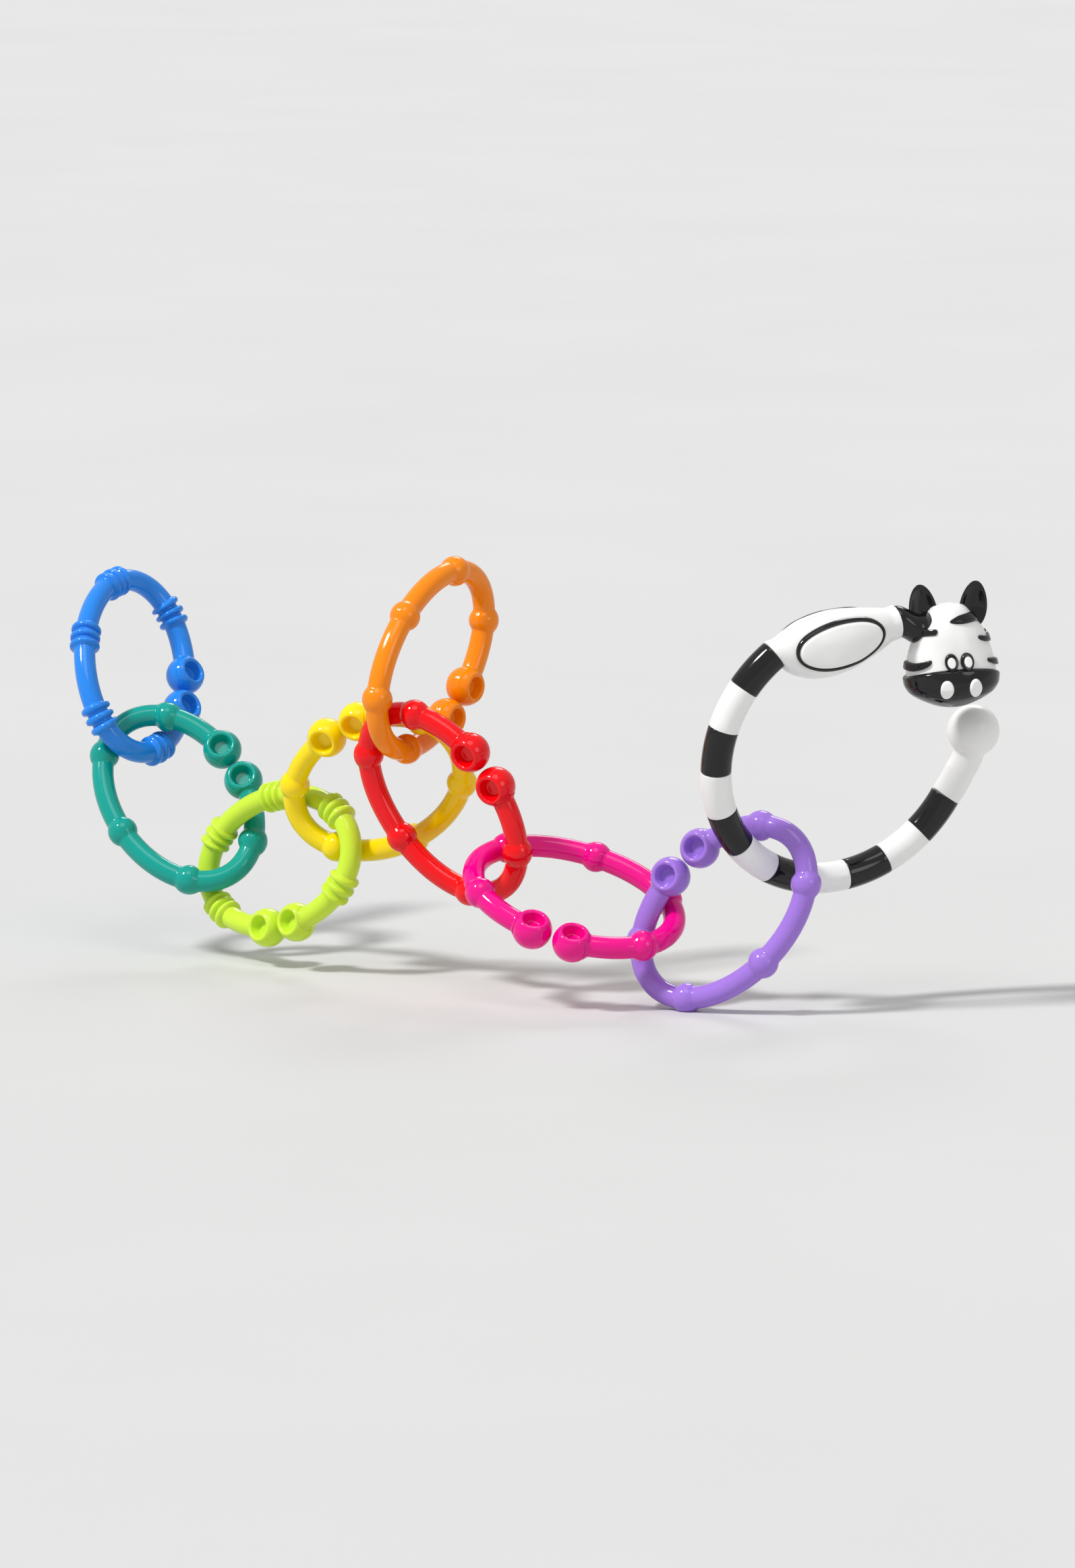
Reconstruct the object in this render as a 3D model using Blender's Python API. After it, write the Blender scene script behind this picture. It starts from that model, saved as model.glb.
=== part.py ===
"""Toy chain of linked rings: eight open oval links and a striped ring with a zebra's body and head.

Metres, +Z up. The origin is the inner top of the orange link, the place where the toy hangs.
"""

import math

import bmesh
import bpy
import numpy as np
from mathutils import Euler, Matrix, Vector

MM = 0.001

# Links: an oval tube with a gap, five bumps and two dimpled end balls
LINK_LENGTH = 65 * MM
LINK_WIDTH = 42 * MM
TUBE_WIDTH = 7 * MM
BALL_WIDTH = 9.6 * MM
RIDGE_WIDTH = 9.8 * MM
RIDGE_THICKNESS = 2.1 * MM
RIDGE_PITCH = 3.1 * MM
END_BALL_WIDTH = 12.5 * MM
END_GAP = 0.7 * MM
DIMPLE_WIDTH = 6.6 * MM
DIMPLE_DEPTH = 3.2 * MM
DIMPLE_RIM = 0.8 * MM
BUMP_ANGLES = (-34.5, 35, 90, 145, 214.5)

# Running clearance between pieces, and between two links that touch
CLEARANCE = 0.3 * MM
LINK_CLEARANCE = 0.5 * MM
SEAM = 0.3 * MM

# Striped ring
RING_DIAMETER = 86.4 * MM
RING_WIDTH = 9.6 * MM
BAND_WALL = 1.2 * MM
BAND_STEP = 18.6
BAND_COUNT = 6
RING_END_ANGLE = 233.3
RING_END_ASIDE = 2.8 * MM
RING_END_WIDTH = 16.4 * MM

# Zebra's body, a hollow shell in two halves
TORSO_ANGLE = 58
TORSO_WIDTH = 19.6 * MM
TORSO_DEPTH = 17 * MM
TORSO_WALL = 1.5 * MM
TAIL_FLANGE_WIDTH = 8.4 * MM
SLEEVE_WIDTH = 10.6 * MM
NECK_WIDTH = 8.2 * MM
NECK_OUTER_WIDTH = 9.6 * MM
NECK_FLANGE_WIDTH = 10.2 * MM
FLANGE_THICKNESS = 1.6 * MM

# Raised oval badges on both sides of the body
BADGE_LENGTH = 26.4 * MM
BADGE_WIDTH = 13.8 * MM
BADGE_LINE = 0.9 * MM
BADGE_RISE = 1.3 * MM
BADGE_LINE_RISE = 1.0 * MM

# Zebra's head, with its centre placed from the end of the body
HEAD_HEIGHT = 31.6 * MM
HEAD_WIDTH = 28.2 * MM
HEAD_DEPTH = 22.5 * MM
HEAD_WALL = 1.6 * MM
HEAD_ASIDE = -18.0 * MM
HEAD_BELOW = -7.1 * MM
HEAD_FORWARD = 5.9 * MM
HEAD_TURN = (137, -71.8, 7)
NECK_RISE = 8.4 * MM
NECK_DEPTH_IN_HEAD = 9.5 * MM
NECK_CAP_WIDTH = 9.4 * MM
EAR_HEIGHT = 15 * MM
EAR_WIDTH = 8.8 * MM
EAR_THICKNESS = 4 * MM
EAR_DISH = 1.8 * MM
EAR_SPREAD = 8.1 * MM
EAR_LEAN = 8
MUZZLE_RISE = 1.2 * MM
STRIPE_RISE = 1.0 * MM
EYE_HEIGHT = 5.2 * MM
EYE_WIDTH = 4.1 * MM
EYE_WHITE_SHARE = 0.64
EYE_SPREAD = 2.4 * MM
EYE_RIM_BASE = 0.45 * MM
EYE_RIM_RISE = 0.95 * MM
EYE_RISE = 0.7 * MM
NOSTRIL_HEIGHT = 5.2 * MM
NOSTRIL_WIDTH = 3.7 * MM
NOSTRIL_SPREAD = 4.15 * MM
NOSTRIL_RISE = 0.7 * MM

# Placing: the orange link's turn, then one contact for each pair of linked rings.
# A contact holds the carrying ring, the place on it, the place on the hanging ring, the lean of each,
# the crossing between them, and the share of a bump's rise that holds the two tubes apart.
ORANGE_TURN = (87, 43, -96)
CONTACTS = {
    "yellow": ("orange", -43, -37, -12, -6, 104, 1.45),
    "lime": ("yellow", 127, -1, -58, -70, -84, 0),
    "teal": ("lime", 194, 20, 49, 88, -105, 0.3),
    "blue": ("teal", 151, 7, -47, 72, 83, 0.8),
    "red": ("orange", 11, 191, 10, -74, 70, 0.25),
    "magenta": ("red", -26, 149, 30, 12, 83, 1.6),
    "purple": ("magenta", 21, 239, 27, 56, -67, 0.3),
    "ring": ("purple", -41, 98, -33, -43, -77, 0.75),
}

# Swing axes: each ring turns about the place where it touches the ring that carries it
SWING_AXES = {
    "yellow": (-0.28, 0.34, -0.9),
    "lime": (-0.48, 0.83, -0.28),
    "teal": (-0.06, 0.28, 0.96),
    "blue": (0.25, -0.18, 0.95),
    "red": (0.08, -0.79, 0.61),
    "magenta": (-0.34, -0.67, 0.66),
    "purple": (0.91, -0.08, -0.4),
    "ring": (0.7, 0, -0.71),
}
RIDGED = ("blue", "lime")

# Surfaces as photographed, as sRGB hex codes
COLOURS = {
    "blue": "3a86e0",
    "teal": "0a9a92",
    "lime": "9ad62b",
    "yellow": "ffcf12",
    "orange": "ff8a10",
    "red": "ee2a2c",
    "magenta": "e8107c",
    "purple": "8f63d8",
    "white": "f4f4f2",
    "black": "141416",
}
GLOSS_ROUGHNESS = 0.25

# Mesh density
TUBE_SIDES = 8
RING_SIDES = 12
BALL_SIDES = 12
PLAIN_STEP = 7 * MM
SHELL_STEPS = 10
BADGE_SIDES = 20
FACE_OVAL_SIDES = 12
BORE_SIDES = 16
EAR_SIDES = 14
STRIPE_STEPS = 6
NECK_BEND_STEPS = 4

BALL_STATION_SHARES = (-1, -0.6, 0, 0.6, 1)
RIDGE_STATION_SHARES = ((-0.5, 0), (-0.25, 1), (0.25, 1), (0.5, 0))
DIMPLE_RIM_SHARES = (0.5, 1)
END_BALL_SHARES = (1 / 3, 2 / 3)
BAND_STATION_SHARES = (0, 0.5, 1)
RING_END_SHARES = (-0.55, -0.2, 0.2, 0.55, 0.83, 0.97)
BADGE_RING_SHARES = (0, 0.5, 0.8, 1)

# Outlines, in shares of the body's and the head's sizes.
# Body: place along it, width, depth, squareness, taper towards its outer edge, and shift inwards.
TORSO_SHARES = (
    (0.10, 0.60, 0.66, 2.1, 0.05, 0.08),
    (0.20, 0.78, 0.80, 2.2, 0.14, 0.10),
    (0.32, 0.96, 0.94, 2.4, 0.26, 0.10),
    (0.43, 1.00, 1.00, 2.5, 0.30, 0.09),
    (0.55, 0.94, 0.97, 2.5, 0.28, 0.08),
    (0.67, 0.81, 0.87, 2.4, 0.20, 0.06),
    (0.79, 0.66, 0.74, 2.2, 0.10, 0.04),
)
TORSO_BEND_SHARE = 0.14
SLEEVE_START_SHARE = 0.91
SLEEVE_HOLE_SHARE = 0.87
TAIL_HOLE_SHARE = 0.06
TAIL_FLANGE_SHARE = 0.13
NECK_FLANGE_SHARE = 0.7
NECK_CAP_SHARE = 0.72
BADGE_PLACE_SHARE = 0.475
BADGE_ASIDE_SHARE = 0.16

# Head: height, width, depth and how far forward its middle lies
HEAD_SHARES = (
    (1.00, 0.00, 0.00, 0.00),
    (0.95, 0.31, 0.34, -0.02),
    (0.84, 0.45, 0.50, -0.02),
    (0.70, 0.55, 0.62, 0.00),
    (0.55, 0.70, 0.72, 0.00),
    (0.39, 0.80, 0.79, 0.01),
    (0.22, 0.865, 0.84, 0.02),
    (0.06, 0.93, 0.88, 0.04),
    (-0.10, 0.97, 0.93, 0.06),
    (-0.30, 1.00, 0.98, 0.09),
    (-0.50, 0.98, 1.00, 0.10),
    (-0.66, 0.89, 0.92, 0.09),
    (-0.76, 0.75, 0.79, 0.08),
    (-0.86, 0.54, 0.58, 0.07),
    (-0.94, 0.31, 0.34, 0.06),
    (-1.00, 0.00, 0.00, 0.05),
)
MUZZLE_SIDE_SHARE = -0.385
MUZZLE_FRONT_RISE_SHARE = 0.19
EYE_PLACE_SHARE = -0.06
NOSTRIL_PLACE_SHARE = -0.53
EAR_PLACE_SHARE = 0.92
EAR_BACK_SHARE = -0.03
EAR_NARROWING = 0.15

# Ear: share of its outline, and 0 for its front, 0.5 for its edge or 1 for its back
EAR_ROW_SHARES = ((0.02, 0), (0.5, 0), (0.8, 0), (1, 0.5), (0.8, 1), (0.4, 1), (0.02, 1))

# Head stripes: height at the tip and at the root, tip angle, root angle, and half height at the root
STRIPE_TIP_SHARE = 0.04
STRIPE_ROW_SHARES = (1, 0.5, 0, -0.5, -1)
STRIPE_SHARES = {
    "forehead_stripe": (0.68, 0.71, -12, 84, 0.09),
    "brow_stripe_left": (0.50, 0.45, -32, -72, 0.07),
    "brow_stripe_right": (0.35, 0.32, 38, 104, 0.11),
    "cheek_stripe_left": (-0.05, -0.17, -36, -106, 0.09),
    "cheek_stripe_right": (-0.09, -0.23, 45, 106, 0.09),
}

TUBE_RADIUS = TUBE_WIDTH / 2
END_RADIUS = END_BALL_WIDTH / 2
RING_RADIUS = RING_DIAMETER / 2
BUMP_RISE = (max(BALL_WIDTH, RIDGE_WIDTH) - TUBE_WIDTH) / 2
END_OFFSET = (END_BALL_WIDTH + END_GAP) / 2
END_ANGLE = math.degrees(math.acos(END_OFFSET / (LINK_LENGTH / 2)))


def clear_scene():
    for item in list(bpy.data.objects):
        bpy.data.objects.remove(item, do_unlink=True)


def linear(channel):
    value = int(channel, 16) / 255
    return value / 12.92 if value <= 0.04045 else ((value + 0.055) / 1.055) ** 2.4


def plastic(name, colour):
    """A gloss plastic with the named colour."""
    code = COLOURS[colour]
    material = bpy.data.materials.new(name)
    material.use_nodes = True
    shader = material.node_tree.nodes["Principled BSDF"]
    channels = [linear(code[start : start + 2]) for start in (0, 2, 4)]
    shader.inputs["Base Color"].default_value = (*channels, 1)
    shader.inputs["Roughness"].default_value = GLOSS_ROUGHNESS
    shader.inputs["Metallic"].default_value = 0
    return material


def mesh_from(name, points, faces):
    """A closed mesh with doubled points merged and its faces turned out."""
    built = bmesh.new()
    verts = [built.verts.new(point) for point in points]
    for face in faces:
        corners = [verts[index] for index in face]
        built.faces.new(corners)
    bmesh.ops.remove_doubles(built, verts=built.verts, dist=CLEARANCE / 100)
    bmesh.ops.dissolve_degenerate(built, edges=built.edges, dist=CLEARANCE / 100)
    bmesh.ops.recalc_face_normals(built, faces=built.faces)
    mesh = bpy.data.meshes.new(name)
    built.to_mesh(mesh)
    built.free()
    mesh.shade_smooth()
    mesh.set_sharp_from_angle(angle=math.radians(40))
    return mesh


def grid_faces(rows, columns, wrap_rows=False, wrap_columns=True):
    faces = []
    for row in range(rows if wrap_rows else rows - 1):
        below = (row + 1) % rows
        for column in range(columns if wrap_columns else columns - 1):
            beside = (column + 1) % columns
            corner = row * columns
            faces.append((corner + column, corner + beside, below * columns + beside, below * columns + column))
    return faces


def tube_mesh(name, stations, sides, hollow=None):
    """A round tube along stations of (point, forward, across, up, radius); hollow gives the bore's radius."""
    rows = [(station, station[4]) for station in stations]
    if hollow is not None:
        rows += [(station, hollow) for station in reversed(stations)]
    points = []
    for (centre, _, across, up, _), radius in rows:
        for side in range(sides):
            turn = 2 * math.pi * side / sides
            points.append(centre + (across * math.cos(turn) + up * math.sin(turn)) * radius)
    faces = grid_faces(len(rows), sides, wrap_rows=hollow is not None)
    if hollow is None:
        faces.append(tuple(range(sides)))
        faces.append(tuple(range((len(rows) - 1) * sides, len(rows) * sides)))
    return mesh_from(name, points, faces)


def joined_mesh(name, meshes):
    """One closed mesh from several that overlap."""
    helpers = [bpy.data.objects.new(mesh.name, mesh) for mesh in meshes]
    for helper in helpers:
        bpy.context.scene.collection.objects.link(helper)
    for helper in helpers[1:]:
        union = helpers[0].modifiers.new("join", "BOOLEAN")
        union.operation = "UNION"
        union.object = helper
    bpy.context.view_layer.update()
    graph = bpy.context.evaluated_depsgraph_get()
    mesh = bpy.data.meshes.new_from_object(helpers[0].evaluated_get(graph))
    mesh.name = name
    for helper in helpers:
        bpy.data.objects.remove(helper, do_unlink=True)
    mesh.shade_smooth()
    mesh.set_sharp_from_angle(angle=math.radians(40))
    return mesh


def cut_mesh(mesh, cutters):
    """The mesh with each cutter mesh taken away."""
    helpers = [bpy.data.objects.new(item.name, item) for item in (mesh, *cutters)]
    for helper in helpers:
        bpy.context.scene.collection.objects.link(helper)
    for helper in helpers[1:]:
        cut = helpers[0].modifiers.new("cut", "BOOLEAN")
        cut.operation = "DIFFERENCE"
        cut.object = helper
    bpy.context.view_layer.update()
    graph = bpy.context.evaluated_depsgraph_get()
    result = bpy.data.meshes.new_from_object(helpers[0].evaluated_get(graph))
    name = mesh.name
    for helper in helpers:
        bpy.data.objects.remove(helper, do_unlink=True)
    bpy.data.meshes.remove(mesh)
    result.name = name
    return result


def oval_frame(half_length, half_width, angle):
    """Point, forward, inward and normal directions on an oval's centreline."""
    turn = math.radians(angle)
    point = Vector((half_length * math.cos(turn), half_width * math.sin(turn), 0))
    forward = Vector((-half_length * math.sin(turn), half_width * math.cos(turn), 0)).normalized()
    up = Vector((0, 0, 1))
    return point, forward, up.cross(forward), up


def ring_frame(ring, angle):
    if ring == "ring":
        return oval_frame(RING_RADIUS, RING_RADIUS, angle)
    return oval_frame(LINK_LENGTH / 2, LINK_WIDTH / 2, angle)


def tube_radius(ring):
    return RING_WIDTH / 2 if ring == "ring" else TUBE_RADIUS


def columns_matrix(first, second, third):
    return Matrix((first, second, third)).transposed()


def hang(carrier_frame, carrier, hanging, contact):
    """World matrix of a ring that touches the carrier ring at a contact."""
    place, own_place, lean, own_lean, crossing, lift_share = contact
    turn = carrier_frame.to_3x3()
    point, forward, inward, up = ring_frame(carrier, place)
    lean, own_lean, crossing = (math.radians(angle) for angle in (lean, own_lean, crossing))
    away = turn @ (inward * math.cos(lean) + up * math.sin(lean))
    along = turn @ forward
    own_along = along * math.cos(crossing) + away.cross(along) * math.sin(crossing)
    side = own_along.cross(-away)
    own_inward = -away * math.cos(own_lean) - side * math.sin(own_lean)
    own_up = -away * math.sin(own_lean) + side * math.cos(own_lean)
    own_point, own_forward, local_inward, local_up = ring_frame(hanging, own_place)
    world_axes = columns_matrix(own_along, own_inward, own_up)
    own_turn = world_axes @ columns_matrix(own_forward, local_inward, local_up).transposed()
    reach = tube_radius(carrier) + tube_radius(hanging) + LINK_CLEARANCE + lift_share * BUMP_RISE
    centre = carrier_frame @ point + away * reach - own_turn @ own_point
    return Matrix.Translation(centre) @ own_turn.to_4x4()


def ring_matrices():
    """World matrix of every ring, from the orange link outwards."""
    turn = Euler([math.radians(angle) for angle in ORANGE_TURN], "XYZ").to_matrix()
    top_angle = math.degrees(math.atan2(LINK_WIDTH * turn[2][1], LINK_LENGTH * turn[2][0]))
    top = turn @ ring_frame("orange", top_angle)[0]
    matrices = {"orange": Matrix.Translation(Vector((0, 0, TUBE_RADIUS)) - top) @ turn.to_4x4()}
    for hanging, (carrier, *contact) in CONTACTS.items():
        matrices[hanging] = hang(matrices[carrier], carrier, hanging, contact)
    return matrices


def arc_table():
    """Arc length against angle along a link's centreline, from one end ball to the other."""
    angles = np.linspace(-END_ANGLE, 180 + END_ANGLE, 2001)
    turns = np.radians(angles)
    points = np.stack([LINK_LENGTH / 2 * np.cos(turns), LINK_WIDTH / 2 * np.sin(turns)], axis=1)
    lengths = np.concatenate([[0], np.cumsum(np.linalg.norm(np.diff(points, axis=0), axis=1))])
    return angles, lengths


def ball_bump():
    """Offsets along the tube and radii of one ball."""
    radius = BALL_WIDTH / 2
    reach = math.sqrt(radius**2 - TUBE_RADIUS**2)
    return [(reach * share, math.sqrt(radius**2 - (reach * share) ** 2)) for share in BALL_STATION_SHARES]


def ridge_bump():
    """Offsets along the tube and radii of three ridges side by side."""
    rise = RIDGE_WIDTH / 2 - TUBE_RADIUS
    stations = []
    for ridge in (-1, 0, 1):
        for offset_share, rise_share in RIDGE_STATION_SHARES:
            offset = ridge * RIDGE_PITCH + offset_share * RIDGE_THICKNESS
            stations.append((offset, TUBE_RADIUS + rise_share * rise))
    return stations


def link_stations(bump):
    """Arc lengths and radii along a link, with plain stretches between its bumps."""
    angles, lengths = arc_table()
    inset = (DIMPLE_WIDTH + END_BALL_WIDTH) / 4
    marks = [(inset, TUBE_RADIUS)]
    for angle in BUMP_ANGLES:
        centre = float(np.interp(angle, angles, lengths))
        marks += plain_stretch(marks[-1][0], centre + bump[0][0])
        marks += [(centre + offset, radius) for offset, radius in bump]
    last = float(lengths[-1]) - inset
    marks += plain_stretch(marks[-1][0], last)
    marks.append((last, TUBE_RADIUS))
    stations = []
    for length, radius in marks:
        frame = ring_frame("link", float(np.interp(length, lengths, angles)))
        stations.append((*frame, radius))
    return stations


def plain_stretch(start, stop):
    """The places between two bumps, without the ends."""
    count = max(math.ceil((stop - start) / PLAIN_STEP), 1)
    return [(start + (stop - start) * step / count, TUBE_RADIUS) for step in range(1, count)]


def end_ball_mesh(centre):
    """A ball with a round dimple in each face."""
    bore = DIMPLE_WIDTH / 2
    rim_centre = math.sqrt((END_RADIUS - DIMPLE_RIM) ** 2 - (bore + DIMPLE_RIM) ** 2)
    floor = rim_centre + DIMPLE_RIM - DIMPLE_DEPTH
    lip = math.asin((bore + DIMPLE_RIM) / (END_RADIUS - DIMPLE_RIM))
    half = [(0, floor), (bore, floor), (bore, rim_centre)]
    for share in DIMPLE_RIM_SHARES:
        turn = math.pi - share * (math.pi / 2 + lip)
        place = bore + DIMPLE_RIM + DIMPLE_RIM * math.cos(turn)
        half.append((place, rim_centre + DIMPLE_RIM * math.sin(turn)))
    for share in END_BALL_SHARES:
        turn = lip + share * (math.pi / 2 - lip)
        half.append((END_RADIUS * math.sin(turn), END_RADIUS * math.cos(turn)))
    profile = half + [(END_RADIUS, 0)] + [(radius, -height) for radius, height in reversed(half)]
    points = []
    for radius, height in profile:
        for side in range(BALL_SIDES):
            turn = 2 * math.pi * side / BALL_SIDES
            points.append(centre + Vector((radius * math.cos(turn), radius * math.sin(turn), height)))
    return mesh_from("end_ball", points, grid_faces(len(profile), BALL_SIDES))


def link_mesh(name, bump):
    tube = tube_mesh("tube", link_stations(bump), TUBE_SIDES)
    ends = [end_ball_mesh(ring_frame("link", angle)[0]) for angle in (-END_ANGLE, 180 + END_ANGLE)]
    return joined_mesh(name, [tube, *ends])


def bezier(points, share):
    """Point and forward direction on a cubic curve."""
    start, first, second, end = points
    rest = 1 - share
    point = start * rest**3 + first * 3 * rest**2 * share + second * 3 * rest * share**2 + end * share**3
    forward = (first - start) * rest**2 + (second - first) * 2 * rest * share + (end - second) * share**2
    return point, forward.normalized()


def torso_spine(share):
    """Frame along the body's middle line, which leaves the ring's circle and runs straight to the neck."""
    start, forward, _, up = ring_frame("ring", 0)
    end = ring_frame("ring", -TORSO_ANGLE)[0]
    chord = end - start
    bend = chord.length * TORSO_BEND_SHARE
    point, ahead = bezier((start, start - forward * bend, end - chord.normalized() * bend, end), share)
    table = np.array([(0, 0), *((row[0], row[5]) for row in TORSO_SHARES), (1, 0)])
    outward = up.cross(ahead)
    inset = TORSO_WIDTH * float(np.interp(share, table[:, 0], table[:, 1]))
    return point - outward * inset, ahead, outward, up


def section_point(frame, width, depth, squareness, taper, turn):
    """A point on a rounded section that is thinner towards the body's outer edge."""
    point, _, across, up = frame
    cosine, sine = math.cos(turn), math.sin(turn)
    aside = math.copysign(abs(cosine) ** (2 / squareness), cosine)
    above = math.copysign(abs(sine) ** (2 / squareness), sine) * (1 - taper * aside)
    return point + across * (width / 2 * aside) + up * (depth / 2 * above)


def torso_section(share):
    """Width, depth, squareness and taper of the body's outside at a share of its length."""
    rows = [(0, RING_WIDTH / TORSO_WIDTH, RING_WIDTH / TORSO_DEPTH, 2, 0), *(row[:5] for row in TORSO_SHARES)]
    for place in (SLEEVE_START_SHARE, 1):
        rows.append((place, SLEEVE_WIDTH / TORSO_WIDTH, SLEEVE_WIDTH / TORSO_DEPTH, 2, 0))
    table = np.array(rows)
    values = [float(np.interp(share, table[:, 0], table[:, column])) for column in range(1, 5)]
    return TORSO_WIDTH * values[0], TORSO_DEPTH * values[1], values[2], values[3]


def torso_loop():
    """Closed outline of the shell's wall: the outside, the neck's hole, the hollow and the tail's hole."""
    outside = [0] + [row[0] for row in TORSO_SHARES] + [SLEEVE_START_SHARE, 1]
    loop = [(share, *torso_section(share)) for share in outside]
    neck_hole = NECK_WIDTH + 2 * CLEARANCE
    loop += [(1, neck_hole, neck_hole, 2, 0), (SLEEVE_HOLE_SHARE, neck_hole, neck_hole, 2, 0)]
    for share, *_ in reversed(TORSO_SHARES):
        width, depth, squareness, taper = torso_section(share)
        loop.append((share, width - 2 * TORSO_WALL, depth - 2 * TORSO_WALL, squareness, taper))
    tail_hole = seat_width() + 2 * CLEARANCE
    loop += [(TAIL_HOLE_SHARE, tail_hole, tail_hole, 2, 0), (0, tail_hole, tail_hole, 2, 0)]
    return loop


def seat_width():
    """Width of the ring's core under a black band."""
    return RING_WIDTH - 2 * (BAND_WALL + CLEARANCE)


def half_shell_mesh(name, loop, place, side):
    """Half of a hollow shell: its wall's outline swept through half a turn, with flat seam faces."""
    points = []
    columns = SHELL_STEPS + 1
    for row in loop:
        for step in range(columns):
            points.append(place(row, side * math.pi * step / SHELL_STEPS, side))
    faces = grid_faces(len(loop), columns, wrap_rows=True, wrap_columns=False)
    faces.append(tuple(row * columns for row in range(len(loop))))
    faces.append(tuple(row * columns + SHELL_STEPS for row in range(len(loop))))
    return mesh_from(name, points, faces)


def torso_wall_point(row, turn, side):
    share, width, depth, squareness, taper = row
    frame = torso_spine(share)
    return section_point(frame, width, depth, squareness, taper, turn) + frame[3] * (side * SEAM / 2)


def badge_point(aside, along, side, lift):
    """A point at a height over the body's front or back, from a place on the badge."""
    share = BADGE_PLACE_SHARE + along / RING_RADIUS
    width, depth, squareness, taper = torso_section(share)
    point, _, across, up = torso_spine(share)
    aside += BADGE_ASIDE_SHARE * TORSO_WIDTH / 2
    edge = min(abs(aside) / (width / 2 + lift), 1)
    height = (1 - edge**squareness) ** (1 / squareness) * (depth / 2 + lift) * (1 - taper * 2 * aside / width)
    return point + across * aside + up * (side * (height + SEAM / 2))


def oval_patch(name, place, ovals, steps, low, high):
    """A raised oval patch over a surface; ovals are its half sizes from the inside out."""
    points = []
    rows = [(oval, high) for oval in ovals] + [(oval, low) for oval in reversed(ovals)]
    for (half_length, half_width), lift in rows:
        for step in range(steps):
            turn = 2 * math.pi * step / steps
            points.append(place(half_length * math.cos(turn), half_width * math.sin(turn), lift))
    faces = grid_faces(len(rows), steps, wrap_rows=ovals[0][0] > 0)
    return mesh_from(name, points, faces)


def badge_meshes(prefix, side):
    """The bare oval and the even line round it."""
    half_length, half_width = BADGE_LENGTH / 2, BADGE_WIDTH / 2

    def place(along, aside, lift):
        return badge_point(aside, along, side, lift)

    def inset_oval(inset, share=1):
        return (half_length - inset) * share, (half_width - inset) * share

    face_ovals = [inset_oval(BADGE_LINE + CLEARANCE, share) for share in BADGE_RING_SHARES]
    face = oval_patch(prefix + "_badge", place, face_ovals, BADGE_SIDES, CLEARANCE, BADGE_RISE)
    line_ovals = [inset_oval(BADGE_LINE), inset_oval(0)]
    line = oval_patch(prefix + "_badge_line", place, line_ovals, BADGE_SIDES, CLEARANCE, BADGE_LINE_RISE)
    return face, line


def ring_end_frame(angle):
    """Frame along the ring's free end, which leaves the circle outwards."""
    point, forward, inward, up = ring_frame("ring", angle)
    start = (2 * BAND_COUNT - 1) * BAND_STEP
    share = (angle - start) / (RING_END_ANGLE - start)
    slope = RING_END_ASIDE / (RING_RADIUS * math.radians(RING_END_ANGLE - start))
    forward = (forward - inward * slope).normalized()
    return point - inward * (RING_END_ASIDE * share), forward, up.cross(forward), up


def striped_ring_mesh():
    """The white core: a trapped tail, seats for the black bands, white bands and the end ball."""
    seat = seat_width() / 2
    stations = []
    flange_reach = FLANGE_THICKNESS / RING_RADIUS
    for share, radius in (
        (TAIL_FLANGE_SHARE + flange_reach, TAIL_FLANGE_WIDTH / 2),
        (TAIL_FLANGE_SHARE, TAIL_FLANGE_WIDTH / 2),
        (TAIL_FLANGE_SHARE, seat),
        (TAIL_HOLE_SHARE, seat),
        (0, seat),
    ):
        point, forward, across, up = torso_spine(share)
        stations.append((point, -forward, -across, up, radius))
    for band in range(2 * BAND_COUNT - 1):
        radius = seat if band % 2 == 0 else RING_WIDTH / 2
        for share in BAND_STATION_SHARES:
            stations.append((*ring_frame("ring", (band + share) * BAND_STEP), radius))
    ball = RING_END_WIDTH / 2
    neck_reach = math.degrees(math.sqrt(ball**2 - (RING_WIDTH / 2) ** 2) / RING_RADIUS)
    plain_start = (2 * BAND_COUNT - 1) * BAND_STEP
    stations.append((*ring_frame("ring", plain_start), RING_WIDTH / 2))
    ball_start = RING_END_ANGLE - neck_reach
    stations.append((*ring_end_frame((plain_start + ball_start) / 2), RING_WIDTH / 2))
    end_frame = ring_end_frame(RING_END_ANGLE)
    for offset_share in (-math.cos(math.asin(RING_WIDTH / RING_END_WIDTH)), *RING_END_SHARES):
        offset = offset_share * ball
        centre = end_frame[0] + end_frame[1] * offset
        stations.append((centre, *end_frame[1:], math.sqrt(ball**2 - offset**2)))
    return tube_mesh("striped_ring", stations, RING_SIDES)


def band_mesh(name, band):
    """A black sleeve over its seat on the core."""
    gap_share = CLEARANCE / (RING_RADIUS * math.radians(BAND_STEP))
    stations = []
    for share in (gap_share, 0.5, 1 - gap_share):
        stations.append((*ring_frame("ring", (2 * band + share) * BAND_STEP), RING_WIDTH / 2))
    return tube_mesh(name, stations, RING_SIDES, hollow=RING_WIDTH / 2 - BAND_WALL)


def head_matrix():
    """The head's frame in the ring's: X out of the face, Y to the viewer's right, Z up the head."""
    turn = Euler([math.radians(angle) for angle in HEAD_TURN], "XYZ").to_matrix()
    centre = ring_frame("ring", -TORSO_ANGLE)[0] + Vector((HEAD_ASIDE, HEAD_BELOW, HEAD_FORWARD))
    return Matrix.Translation(centre) @ turn.to_4x4()


def head_point(height_share, turn, lift):
    """A point on the head's surface, or at a height over it."""
    table = np.array(sorted(HEAD_SHARES))
    width, depth, ahead = (float(np.interp(height_share, table[:, 0], table[:, column])) for column in (1, 2, 3))
    return Vector(
        (
            (HEAD_DEPTH / 2 + lift) * (depth * math.cos(turn) + ahead),
            (HEAD_WIDTH / 2 + lift) * width * math.sin(turn),
            (HEAD_HEIGHT / 2 + lift) * height_share,
        )
    )


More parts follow.
